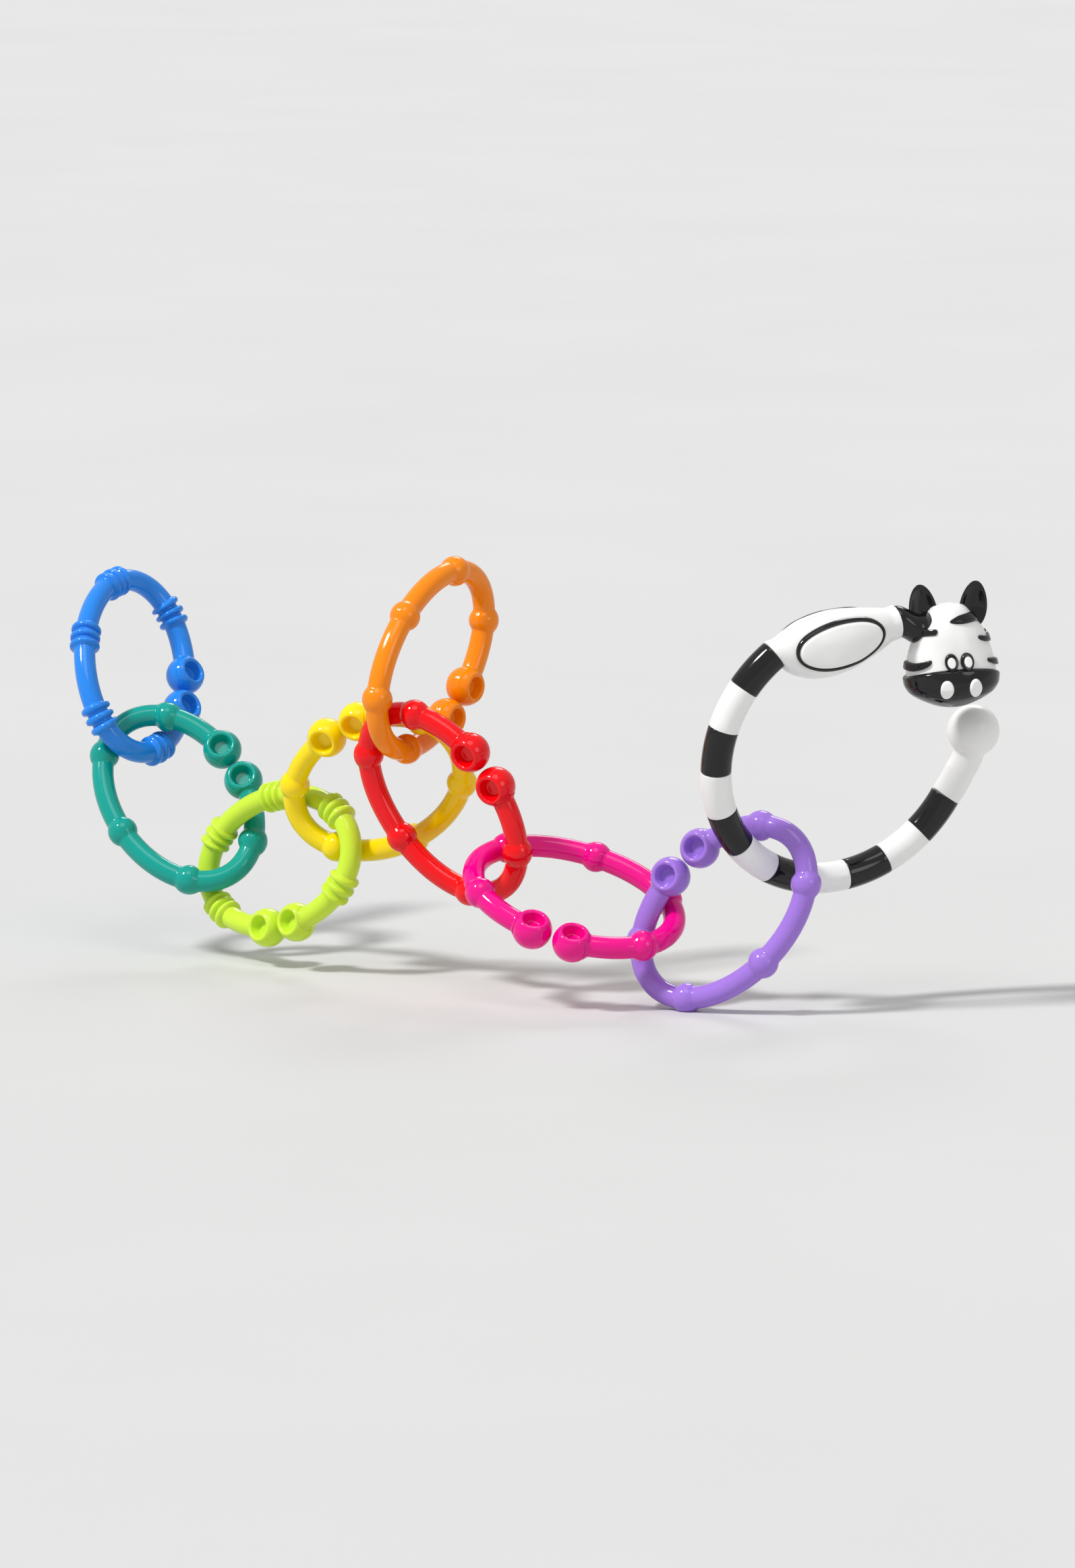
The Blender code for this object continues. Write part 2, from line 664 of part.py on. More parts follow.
def head_wall_point(row, turn, side):
    height_share, lift = row
    return head_point(height_share, turn + math.pi / 2, lift) - Vector((side * SEAM / 2, 0, 0))


def head_solid_mesh(name, lift):
    points = []
    for height_share, *_ in HEAD_SHARES:
        for step in range(2 * SHELL_STEPS):
            points.append(head_point(height_share, math.pi * step / SHELL_STEPS, lift))
    return mesh_from(name, points, grid_faces(len(HEAD_SHARES), 2 * SHELL_STEPS))


def neck_bore_mesh(width, deepest):
    """A round bar along the swivel axis, from outside the head's left to the deepest place in it."""
    stations = []
    for aside in (-HEAD_WIDTH, -deepest):
        point = Vector((0, aside, NECK_RISE))
        stations.append((point, Vector((0, 1, 0)), Vector((1, 0, 0)), Vector((0, 0, 1)), width / 2))
    return tube_mesh("neck_bore", stations, BORE_SIDES)


def head_shell_mesh(name, side):
    """Front or back half of the hollow head, with the neck's hole in its left seam."""
    loop = [(row[0], 0) for row in HEAD_SHARES] + [(row[0], -HEAD_WALL) for row in reversed(HEAD_SHARES)]
    shell = half_shell_mesh(name, loop, head_wall_point, side)
    bore = neck_bore_mesh(NECK_WIDTH + 2 * CLEARANCE, NECK_DEPTH_IN_HEAD / 3)
    mouth = neck_bore_mesh(NECK_OUTER_WIDTH + 4 * CLEARANCE, NECK_DEPTH_IN_HEAD)
    return cut_mesh(shell, [bore, mouth])


def muzzle_mesh():
    """The dark cup over the lower face, higher in front, with the two eye rims on its edge."""
    points = []
    columns = 2 * SHELL_STEPS
    levels = [row[0] for row in HEAD_SHARES if row[0] < MUZZLE_SIDE_SHARE]
    count = len(levels) + 2
    rows = [(row, MUZZLE_RISE) for row in range(count)] + [(row, CLEARANCE) for row in reversed(range(count))]
    for row, lift in rows:
        for step in range(columns):
            turn = math.pi * step / SHELL_STEPS
            top = MUZZLE_SIDE_SHARE + MUZZLE_FRONT_RISE_SHARE * max(math.cos(turn), 0)
            heights = [top, (top + levels[0]) / 2, *levels]
            points.append(head_point(heights[row], turn, lift))
    cup = mesh_from("muzzle_cup", points, grid_faces(len(rows), columns, wrap_rows=True))
    rims = []
    for side in (-1, 1):
        rim = (side * EYE_SPREAD, EYE_PLACE_SHARE, EYE_WIDTH, EYE_HEIGHT)
        rims.append(face_oval_mesh("eye_rim", *rim, (0, 1), EYE_RIM_BASE, EYE_RIM_RISE))
    return joined_mesh("muzzle", [cup, *rims])


def stripe_mesh(name):
    """A raised stripe that tapers to its tip, laid round the head."""
    tip_height, root_height, tip_angle, root_angle, half_share = STRIPE_SHARES[name]
    points = []
    for step in range(STRIPE_STEPS + 1):
        share = step / STRIPE_STEPS
        turn = math.radians(tip_angle + (root_angle - tip_angle) * share)
        middle = tip_height + (root_height - tip_height) * share
        half = half_share * math.sqrt(STRIPE_TIP_SHARE + (1 - STRIPE_TIP_SHARE) * share)
        outer = [head_point(middle + half * place, turn, STRIPE_RISE) for place in STRIPE_ROW_SHARES]
        inner = [head_point(middle + half * place, turn, CLEARANCE) for place in STRIPE_ROW_SHARES]
        points += outer + inner[::-1]
    corners = 2 * len(STRIPE_ROW_SHARES)
    faces = grid_faces(STRIPE_STEPS + 1, corners)
    faces.append(tuple(range(corners)))
    faces.append(tuple(range(STRIPE_STEPS * corners, (STRIPE_STEPS + 1) * corners)))
    stripe = mesh_from(name, points, faces)
    if name.endswith("left"):
        return cut_mesh(stripe, [neck_bore_mesh(NECK_OUTER_WIDTH + 4 * CLEARANCE, NECK_DEPTH_IN_HEAD / 3)])
    return stripe


def face_oval_mesh(name, aside, height_share, width, height, shares, base, rise):
    """An oval button or ring on the face, standing over the surface at its own place."""

    def place(upward, sideways, lift):
        share = height_share + 2 * upward / HEAD_HEIGHT
        half_width = head_point(share, math.pi / 2, 0)[1]
        turn = math.asin((aside + sideways) / half_width)
        return head_point(share, turn, base + lift)

    ovals = [(share * height / 2, share * width / 2) for share in shares]
    return oval_patch(name, place, ovals, FACE_OVAL_SIDES, 0, rise)


def ear_mesh(name, side):
    """A pointed oval leaf, dished in front, cut to sit on the head and clear of the neck."""
    points = []
    for ring, back in EAR_ROW_SHARES:
        dome = EAR_THICKNESS / 2 * math.sqrt(1 - ring**2)
        depth = -dome if back == 1 else dome - EAR_DISH * (1 - ring**2) * 2 * (1 - back)
        for step in range(EAR_SIDES):
            turn = 2 * math.pi * step / EAR_SIDES
            narrow = 1 - EAR_NARROWING * ring * math.cos(turn)
            upward = EAR_HEIGHT / 2 * ring * math.cos(turn)
            aside = EAR_WIDTH / 2 * ring * math.sin(turn) * narrow
            points.append(Vector((depth, aside, upward)))
    faces = grid_faces(len(EAR_ROW_SHARES), EAR_SIDES)
    faces.append(tuple(range(EAR_SIDES)))
    faces.append(tuple(range(len(points) - EAR_SIDES, len(points))))
    leaf = mesh_from(name, points, faces)
    lean = Matrix.Rotation(math.radians(-EAR_LEAN * side), 4, "X")
    place = Vector((EAR_BACK_SHARE * HEAD_DEPTH / 2, side * EAR_SPREAD, EAR_PLACE_SHARE * HEAD_HEIGHT / 2))
    leaf.transform(Matrix.Translation(place) @ lean)
    cutters = [head_solid_mesh("head_cutter", CLEARANCE)]
    if side < 0:
        cutters.append(neck_bore_mesh(NECK_OUTER_WIDTH + 8 * CLEARANCE, NECK_DEPTH_IN_HEAD / 3))
    return cut_mesh(leaf, cutters)


def neck_mesh():
    """The neck: a flange trapped in the body, a narrowing bend, and a cap trapped in the head."""
    stations = []
    flange_reach = FLANGE_THICKNESS / RING_RADIUS
    for share, width in (
        (NECK_FLANGE_SHARE, NECK_FLANGE_WIDTH),
        (NECK_FLANGE_SHARE + flange_reach, NECK_FLANGE_WIDTH),
        (NECK_FLANGE_SHARE + flange_reach, NECK_WIDTH),
        (SLEEVE_HOLE_SHARE, NECK_WIDTH),
        (1, NECK_WIDTH),
    ):
        stations.append((*torso_spine(share), width / 2))
    head = head_matrix()
    end, ahead, _, up = torso_spine(1)
    mouth = head @ Vector((0, -NECK_DEPTH_IN_HEAD, NECK_RISE))
    axis = (head.to_3x3() @ Vector((0, 1, 0))).normalized()
    collar = end + ahead * CLEARANCE
    for width in (NECK_WIDTH, NECK_OUTER_WIDTH):
        stations.append((collar, ahead, up.cross(ahead), up, width / 2))
    bend = (mouth - end).length / 3
    for step in range(1, NECK_BEND_STEPS + 1):
        share = step / NECK_BEND_STEPS
        point, _ = bezier((end, end + ahead * bend, mouth - axis * bend, mouth), share)
        forward = ahead.lerp(axis, share).normalized()
        across = up.cross(forward).normalized()
        width = NECK_OUTER_WIDTH + (NECK_WIDTH - NECK_OUTER_WIDTH) * share
        stations.append((point, forward, across, forward.cross(across), width / 2))
    across, level = stations[-1][2], stations[-1][3]
    cap_start = mouth + axis * (NECK_DEPTH_IN_HEAD * NECK_CAP_SHARE)
    for offset, width in ((0, NECK_WIDTH), (0, NECK_CAP_WIDTH), (FLANGE_THICKNESS / 2, NECK_CAP_WIDTH)):
        stations.append((cap_start + axis * offset, axis, across, level, width / 2))
    return tube_mesh("neck", stations, RING_SIDES)


class Assembly:
    """Keeps each body's empty and its world matrix, so that pieces can be placed in world coordinates."""

    def __init__(self):
        self.empties = {}
        self.worlds = {}

    def body(self, name, parent, world):
        empty = bpy.data.objects.new(name + "_pivot", None)
        empty.empty_display_size = RING_WIDTH
        bpy.context.scene.collection.objects.link(empty)
        if parent:
            empty.parent = self.empties[parent]
            empty.matrix_basis = self.worlds[parent].inverted() @ world
        else:
            empty.matrix_basis = world
        self.empties[name] = empty
        self.worlds[name] = world

    def piece(self, mesh, colour, body, world):
        item = bpy.data.objects.new(mesh.name, mesh)
        bpy.context.scene.collection.objects.link(item)
        mesh.materials.clear()
        mesh.materials.append(plastic(mesh.name, colour))
        item.parent = self.empties[body]
        item.matrix_basis = self.worlds[body].inverted() @ world
        return item


def axis_matrix(point, axis):
    """World matrix at a point, with its Z along the axis."""
    return Matrix.Translation(point) @ axis.to_track_quat("Z", "Y").to_matrix().to_4x4()


def touch_point(matrices, hanging):
    """The place between two tubes where one ring hangs on another."""
    carrier, place, own_place = CONTACTS[hanging][:3]
    carried_at = matrices[carrier] @ ring_frame(carrier, place)[0]
    hung_at = matrices[hanging] @ ring_frame(hanging, own_place)[0]
    share = tube_radius(carrier) / (tube_radius(carrier) + tube_radius(hanging))
    return carried_at.lerp(hung_at, share)


def build():
    clear_scene()
    matrices = ring_matrices()
    assembly = Assembly()
    assembly.body("orange", None, Matrix.Identity(4))
    for name, (carrier, *_) in CONTACTS.items():
        assembly.body(name, carrier, axis_matrix(touch_point(matrices, name), Vector(SWING_AXES[name])))
    ball_link = link_mesh("ball_link", ball_bump())
    ridged_link = link_mesh("ridged_link", ridge_bump())
    for name in ("blue", "teal", "lime", "yellow", "orange", "red", "magenta", "purple"):
        mesh = (ridged_link if name in RIDGED else ball_link).copy()
        mesh.name = name + "_link"
        assembly.piece(mesh, name, name, matrices[name])
    add_striped_ring(assembly, matrices["ring"])
    add_head(assembly, matrices["ring"] @ head_matrix())


def add_striped_ring(assembly, world):
    assembly.piece(striped_ring_mesh(), "white", "ring", world)
    for band in range(BAND_COUNT):
        assembly.piece(band_mesh(f"black_band_{band + 1}", band), "black", "ring", world)
    for prefix, side in (("front", 1), ("rear", -1)):
        shell = half_shell_mesh(f"torso_{prefix}_shell", torso_loop(), torso_wall_point, side)
        assembly.piece(shell, "white", "ring", world)
        face, line = badge_meshes(prefix, side)
        assembly.piece(face, "white", "ring", world)
        assembly.piece(line, "black", "ring", world)
    assembly.piece(neck_mesh(), "black", "ring", world)


def add_head(assembly, world):
    axis = world.to_3x3() @ Vector((0, 1, 0))
    assembly.body("head", "ring", axis_matrix(world @ Vector((0, 0, NECK_RISE)), axis))
    assembly.piece(head_shell_mesh("head_face", -1), "white", "head", world)
    assembly.piece(head_shell_mesh("head_back", 1), "white", "head", world)
    assembly.piece(muzzle_mesh(), "black", "head", world)
    for name in STRIPE_SHARES:
        assembly.piece(stripe_mesh(name), "black", "head", world)
    for name, side in (("left", -1), ("right", 1)):
        assembly.piece(ear_mesh(name + "_ear", side), "black", "head", world)
        eye = (side * EYE_SPREAD, EYE_PLACE_SHARE, EYE_WIDTH, EYE_HEIGHT)
        seat = EYE_RIM_BASE + EYE_RIM_RISE + CLEARANCE
        white = face_oval_mesh(name + "_eye", *eye, (0, EYE_WHITE_SHARE), seat, EYE_RISE)
        assembly.piece(white, "white", "head", world)
        nose = (side * NOSTRIL_SPREAD, NOSTRIL_PLACE_SHARE, NOSTRIL_WIDTH, NOSTRIL_HEIGHT)
        nostril = face_oval_mesh(name + "_nostril", *nose, (0, 1), MUZZLE_RISE + CLEARANCE, NOSTRIL_RISE)
        assembly.piece(nostril, "white", "head", world)


build()
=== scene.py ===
"""Looks for the toy chain: gloss moulded links, the striped ring, and the zebra's body and head.

Metres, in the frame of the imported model. Each moulding repeats the solid's own measures at a finer step.
"""

import math

import bmesh
import bpy
import numpy as np
from mathutils import Euler, Matrix, Vector


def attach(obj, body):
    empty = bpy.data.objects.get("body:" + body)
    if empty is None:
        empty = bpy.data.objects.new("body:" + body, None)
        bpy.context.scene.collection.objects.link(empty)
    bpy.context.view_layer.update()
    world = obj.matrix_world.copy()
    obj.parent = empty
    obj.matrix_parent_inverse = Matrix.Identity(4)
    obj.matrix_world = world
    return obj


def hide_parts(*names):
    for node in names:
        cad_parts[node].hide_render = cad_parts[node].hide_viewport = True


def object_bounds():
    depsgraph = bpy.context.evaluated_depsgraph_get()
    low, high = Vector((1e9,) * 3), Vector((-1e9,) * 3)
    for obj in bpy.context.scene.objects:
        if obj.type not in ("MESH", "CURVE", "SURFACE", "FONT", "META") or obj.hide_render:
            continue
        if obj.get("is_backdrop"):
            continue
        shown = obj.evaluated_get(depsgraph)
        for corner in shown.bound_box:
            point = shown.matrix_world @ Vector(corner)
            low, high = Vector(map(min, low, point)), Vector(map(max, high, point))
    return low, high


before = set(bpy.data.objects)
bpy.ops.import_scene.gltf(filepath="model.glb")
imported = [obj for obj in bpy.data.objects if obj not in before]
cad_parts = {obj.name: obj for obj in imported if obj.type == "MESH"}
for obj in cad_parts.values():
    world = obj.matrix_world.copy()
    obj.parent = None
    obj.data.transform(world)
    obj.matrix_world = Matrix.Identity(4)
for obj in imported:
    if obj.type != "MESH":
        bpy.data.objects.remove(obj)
cad_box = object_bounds()

MM = 0.001

# Links
LINK_LENGTH = 65 * MM
LINK_WIDTH = 42 * MM
TUBE_RADIUS = 3.5 * MM
BALL_RADIUS = 4.8 * MM
BALL_FILLET = 0.45 * MM
RIDGE_RADIUS = 4.9 * MM
RIDGE_THICKNESS = 2.1 * MM
RIDGE_PITCH = 3.1 * MM
RIDGE_FILLET = 0.5 * MM
RIDGE_FLATNESS = 2.6
RIDGE_FULLNESS = 2.2
END_BALL_RADIUS = 6.25 * MM
END_GAP = 0.7 * MM
END_FILLET = 0.9 * MM
DIMPLE_RADIUS = 3.3 * MM
DIMPLE_FLOOR_RADIUS = 2.55 * MM
DIMPLE_DEPTH = 3.2 * MM
DIMPLE_RIM = 0.8 * MM
DIMPLE_CORNER = 0.45 * MM
DIMPLE_CORNER_TURN_SHARE = 0.42
DIMPLE_FLAT_SHARE = 0.6
DIMPLE_WALL_INSET = 0.06 * MM
DIMPLE_WALL_DROP = 0.25 * MM
TUBE_END_INSET = 4.3 * MM
TUBE_TUCK = 0.02 * MM
TUBE_TUCK_REACH = 4.56 * MM
END_FLARE_REACH = 7 * MM
BUMP_ANGLES = (-34.5, 35, 90, 145, 214.5)
LINK_CLEARANCE = 0.5 * MM
BUMP_RISE = 1.4 * MM
RIDGED = ("blue", "lime")
LINKS = ("blue", "teal", "lime", "yellow", "orange", "red", "magenta", "purple")

# Striped ring
RING_RADIUS = 43.2 * MM
RING_TUBE_RADIUS = 4.8 * MM
BAND_SEAT_RADIUS = 3.3 * MM
BAND_STEP = 18.6
BAND_COUNT = 6
BAND_GAP = 0.1 * MM
BAND_ROUND = 0.22 * MM
RING_END_ANGLE = 233.3
RING_END_RADIUS = 8.2 * MM
RING_END_ASIDE = 2.8 * MM
RING_END_FILLET = 1.2 * MM
RING_FLARE_START_SHARE = 1.5
RING_FLARE_STOP_SHARE = 0.78
RING_BALL_START_SHARE = 0.72
RING_TAIL_SHARES = (0.1, 0.06, 0.03)

# Zebra's body
TORSO_ANGLE = 58
TORSO_WIDTH = 19.6 * MM
TORSO_DEPTH = 17 * MM
TORSO_WALL = 1.5 * MM
TORSO_LIP = 0.5 * MM
TORSO_LIP_SHARE = 0.3
SLEEVE_RADIUS = 5.3 * MM
NECK_RADIUS = 4.1 * MM
NECK_OUTER_RADIUS = 4.8 * MM
NECK_COLLAR_ROUND = 0.3 * MM
NECK_SWELL = 0.5 * MM
SEAM = 0.16 * MM
SEAM_ROUND = 0.14 * MM
SEAM_DEPTH = 1.2 * MM
SEAM_CORNER_SHARES = (0.1, 0.35)
SEAT_DEPTH = 0.15 * MM
BADGE_LENGTH = 26.4 * MM
BADGE_WIDTH = 13.8 * MM
BADGE_LINE = 0.9 * MM
BADGE_RISE = 1.3 * MM
BADGE_LINE_RISE = 1.0 * MM
BADGE_GAP = 0.06 * MM
BADGE_EDGE = 0.8 * MM
BEAD_SHOULDER_SHARE = 0.55
BEAD_CROWN_SHARE = 0.45
PAD_SHARES = (0, 0.35, 0.7)
PAD_EDGE_FULLNESS = 0.8

# Zebra's head
HEAD_HEIGHT = 31.6 * MM
HEAD_WIDTH = 28.2 * MM
HEAD_DEPTH = 22.5 * MM
HEAD_ASIDE = -18.0 * MM
HEAD_BELOW = -7.1 * MM
HEAD_FORWARD = 5.9 * MM
HEAD_TURN = (137, -71.8, 7)
NECK_RISE = 8.4 * MM
NECK_DEPTH_IN_HEAD = 9.5 * MM
EAR_HEIGHT = 15 * MM
EAR_WIDTH = 8.8 * MM
EAR_THICKNESS = 4 * MM
EAR_DISH = 1.8 * MM
EAR_SPREAD = 8.1 * MM
EAR_LEAN = 8
EAR_NARROWING = 0.15
EAR_BACK_EDGE_SHARE = 0.97
MUZZLE_RISE = 1.2 * MM
STRIPE_RISE = 1.0 * MM
STRIPE_FLATNESS = 5
STRIPE_TAPER = 9
EYE_HEIGHT = 5.2 * MM
EYE_WIDTH = 4.1 * MM
EYE_WHITE_SHARE = 0.58
EYE_SPREAD = 2.4 * MM
EYE_RIM_RISE = 1.4 * MM
EYE_RISE = 1.85 * MM
EYE_EDGE = 0.4 * MM
NOSTRIL_HEIGHT = 5.2 * MM
NOSTRIL_WIDTH = 3.7 * MM
NOSTRIL_SPREAD = 4.15 * MM
NOSTRIL_RISE = 1.9 * MM

# Placing of the rings, as in the solids
ORANGE_TURN = (87, 43, -96)
CONTACTS = {
    "yellow": ("orange", -43, -37, -12, -6, 104, 1.45),
    "lime": ("yellow", 127, -1, -58, -70, -84, 0),
    "teal": ("lime", 194, 20, 49, 88, -105, 0.3),
    "blue": ("teal", 151, 7, -47, 72, 83, 0.8),
    "red": ("orange", 11, 191, 10, -74, 70, 0.25),
    "magenta": ("red", -26, 149, 30, 12, 83, 1.6),
    "purple": ("magenta", 21, 239, 27, 56, -67, 0.3),
    "ring": ("purple", -41, 98, -33, -43, -77, 0.75),
}

# Body: place along it, width, depth, squareness, taper towards its outer edge, shift inwards
TORSO_SHARES = (
    (0.10, 0.60, 0.66, 2.1, 0.05, 0.08),
    (0.20, 0.78, 0.80, 2.2, 0.14, 0.10),
    (0.32, 0.96, 0.94, 2.4, 0.26, 0.10),
    (0.43, 1.00, 1.00, 2.5, 0.30, 0.09),
    (0.55, 0.94, 0.97, 2.5, 0.28, 0.08),
    (0.67, 0.81, 0.87, 2.4, 0.20, 0.06),
    (0.79, 0.66, 0.74, 2.2, 0.10, 0.04),
)
TORSO_BEND_SHARE = 0.14
SLEEVE_START_SHARE = 0.91
SLEEVE_MOUTH_SHARE = 0.93
NECK_START_SHARE = 0.85
BADGE_PLACE_SHARE = 0.475
BADGE_ASIDE_SHARE = 0.16

# Head: height, width, depth and how far forward its middle lies
HEAD_SHARES = (
    (1.00, 0.00, 0.00, 0.00),
    (0.95, 0.31, 0.34, -0.02),
    (0.84, 0.45, 0.50, -0.02),
    (0.70, 0.55, 0.62, 0.00),
    (0.55, 0.70, 0.72, 0.00),
    (0.39, 0.80, 0.79, 0.01),
    (0.22, 0.865, 0.84, 0.02),
    (0.06, 0.93, 0.88, 0.04),
    (-0.10, 0.97, 0.93, 0.06),
    (-0.30, 1.00, 0.98, 0.09),
    (-0.50, 0.98, 1.00, 0.10),
    (-0.66, 0.89, 0.92, 0.09),
    (-0.76, 0.75, 0.79, 0.08),
    (-0.86, 0.54, 0.58, 0.07),
    (-0.94, 0.31, 0.34, 0.06),
    (-1.00, 0.00, 0.00, 0.05),
)
MUZZLE_SIDE_SHARE = -0.385
MUZZLE_FRONT_RISE_SHARE = 0.19
MUZZLE_FRONT_NARROWNESS = 1.2
MUZZLE_EDGE_SHARE = 0.035
MUZZLE_EDGE_STOP_SHARE = 0.05
MUZZLE_SIDE_START_SHARE = 0.06
EYE_PLACE_SHARE = -0.06
NOSTRIL_PLACE_SHARE = -0.53
EAR_PLACE_SHARE = 0.92
EAR_BACK_SHARE = -0.03

# Head stripes: places along each as height, angle round the head and half width in shares of the height
STRIPE_PATHS = {
    "forehead_stripe": ((0.68, -12, 0.02), (0.71, 18, 0.08), (0.72, 50, 0.085), (0.71, 84, 0.09)),
    "brow_stripe_left": ((0.50, -32, 0.055), (0.48, -52, 0.06), (0.45, -72, 0.07)),
    "brow_stripe_right": ((0.35, 38, 0.045), (0.29, 60, 0.06), (0.28, 82, 0.09), (0.34, 104, 0.12)),
    "cheek_stripe_left": ((-0.05, -36, 0.05), (-0.13, -51, 0.072), (-0.17, -72, 0.08), (-0.16, -106, 0.09)),
    "cheek_stripe_right": ((-0.09, 45, 0.04), (-0.15, 66, 0.07), (-0.23, 106, 0.09)),
}

# Fineness of the skins: counts, lengths, and degrees along the striped ring
MERGE_REACH = MM / 2000
LINK_LINE_POINTS = 4001
LINK_STEP = 0.26 * MM
LINK_PLAIN_STEPS = 5
LINK_FINE_REACH = 5.8 * MM
LINK_FINE_END_REACH = 6.4 * MM
LINK_SIDES = 32
DIMPLE_CORNER_RINGS = 6
DIMPLE_RIM_RINGS = 9
END_BALL_RINGS = 10
END_BALL_SIDES = 48
RING_STEP = 1.5
BAND_STATION_STEP = 1.2
RING_SIDES = 44
RING_FLARE_RINGS = 14
RING_BALL_RINGS = 22
ROUND_EDGE_SHARES = (0, 0.3, 0.7, 1)
TORSO_RINGS = 76
TORSO_COLUMNS = 44
BADGE_SIDES = 96
PAD_EDGE_RINGS = 8
BEAD_RINGS = 9
HEAD_RINGS = 64
HEAD_COLUMNS = 56
MUZZLE_COLUMNS = 120
MUZZLE_EDGE_RINGS = 7
MUZZLE_RINGS = 40
FACE_OVAL_SIDES = 48
STRIPE_ROWS = 48
STRIPE_COLUMNS = 21
EAR_COLUMNS = 56
EAR_FRONT_RINGS = 18
EAR_BACK_RINGS = 14
NECK_INSIDE_RINGS = 8
NECK_COLLAR_RINGS = 5
NECK_BEND_RINGS = 32
NECK_BEND_FIRST = 3

COLOURS = {
    "blue": "2486e8",
    "teal": "039d90",
    "lime": "ccec3c",
    "yellow": "ffe008",
    "orange": "fa8c05",
    "red": "ef0311",
    "magenta": "ef038b",
    "purple": "a278da",
    "white": "f4f4f2",
    "black": "141416",
}

# Plastic: noise scales in lumps to a metre, then how much each shows
CLOUD_SCALE = 70
GRAIN_SCALE = 420
PEBBLE_SCALE = 950
SCUFF_STRETCH = (90, 2600, 900)
SCUFF_TURN = (0.5, 0.3, 0.8)
SCUFF_START = 0.66
SCUFF_SHARPNESS = 9
SCUFF_PATCH_SHARPNESS = 5
SCUFF_TONE = 0.8
SCUFF_SHOW = 0.18
CLOUD_CONTRAST = 1.6
CLOUD_TONE = 0.93
PEBBLE_HEIGHT = 0.35
CLOUD_HEIGHT = 0.8
SCUFF_HEIGHT = 0.25
PART_LINE_WIDTH = 0.11 * MM
PART_LINE_HEIGHT = 1.6
SKIN_DEPTH = 0.03 * MM
SKIN_STRENGTH = 0.35
CLOUD_POLISH = 0.1
GRAIN_POLISH = 0.06
SCUFF_POLISH = 0.16
PLASTIC_IOR = 1.5
GLOW_DEPTH = 1.6 * MM
WHITE_ROUGHNESS = 0.2
WHITE_GLOW = 0.1
BLACK_GLOSS = 0.4
LINK_GLOW = 0.15

# Stage
TOY_MIDDLE = (0.033, -0.004, -0.061)
FLOOR_HEIGHT = -0.126
FLOOR_REACHES = (0.02, 12)
FLOOR_SIDES = 96
FLOOR_TONES = ((0.58, 0.58, 0.575, 1), (0.62, 0.62, 0.615, 1))
FLOOR_CLOUD_SCALE = 6
FLOOR_ROUGHNESS = 0.85
SURROUND_LIGHT = ((0.98, 0.99, 1.0, 1), 0.4)
SURROUND_GROUND = ((0.98, 0.98, 0.97, 1), 0.62)

# Lamps: direction from the toy, width in degrees and strength
LAMPS = {
    "key_lamp": ((-0.5, -0.75, 1.1), 9, 2.5),
    "top_lamp": ((0.25, -0.5, 1.2), 30, 0.5),
    "side_lamp": ((1.25, -0.35, 0.5), 24, 0.3),
    "back_lamp": ((-0.4, 1.0, 0.9), 20, 0.5),
}

# Camera: place in metres, sensor and lens in millimetres, reach in metres
CAMERA_PLACE = (1.4426, -2.2835, 0.3437)
CAMERA_SENSOR = 36
CAMERA_LENS = 290
CAMERA_REACH = 20


class Signal:
    """A node socket that can be used in sums and products."""

    def __init__(self, finish, socket):
        self.finish = finish
        self.socket = socket

    def maths(self, operation, *others):
        values = dict(enumerate((self, *others)))
        return self.finish.node("ShaderNodeMath", {"operation": operation}, values)

    def __add__(self, other):
        return self.maths("ADD", other)

    __radd__ = __add__

    def __mul__(self, other):
        return self.maths("MULTIPLY", other)

    __rmul__ = __mul__

    def __sub__(self, other):
        return self.maths("SUBTRACT", other)

    def __rsub__(self, other):
        return self.maths("MULTIPLY_ADD", -1, other)

    def __truediv__(self, other):
        return self.maths("DIVIDE", other)

    def size(self):
        return self.maths("ABSOLUTE")

    def clamped(self):
        return self.maths("MAXIMUM", 0).maths("MINIMUM", 1)


class Finish:
    """The nodes of a material or of the surround."""

    def __init__(self, owner):
        owner.use_nodes = True
        self.tree = owner.node_tree
        self.tree.nodes.clear()

    def node(self, kind, settings=None, values=None, output=0):
        """Adds a node, sets it, feeds its sockets and gives back one output."""
        made = self.tree.nodes.new(kind)
        for key, value in (settings or {}).items():
            setattr(made, key, value)
        for key, value in (values or {}).items():
            if isinstance(value, Signal):
                self.tree.links.new(value.socket, made.inputs[key])
            else:
                made.inputs[key].default_value = value
        return Signal(self, made.outputs[output]) if made.outputs else None

    def blend(self, share, first, second):
        """A colour between two colours."""
        settings = {"data_type": "RGBA"}
        return self.node("ShaderNodeMix", settings, {0: share, 6: first, 7: second}, 2)

    def noise(self, place, scale, detail, roughness=0.5):
        """A soft random tone with so many lumps to a metre."""
        values = {"Vector": place, "Scale": scale, "Detail": detail, "Roughness": roughness}
        return self.node("ShaderNodeTexNoise", {}, values)


def linear(code):
    """Linear colour of an sRGB hex code, by the standard curve."""
    channels = []
    for start in (0, 2, 4):
        value = int(code[start : start + 2], 16) / 255
        channels.append(value / 12.92 if value <= 0.04045 else ((value + 0.055) / 1.055) ** 2.4)
    return (*channels, 1)


def shaded(colour, share):
    """A colour taken down to a share of its light."""
    return (*(channel * share for channel in colour[:3]), 1)


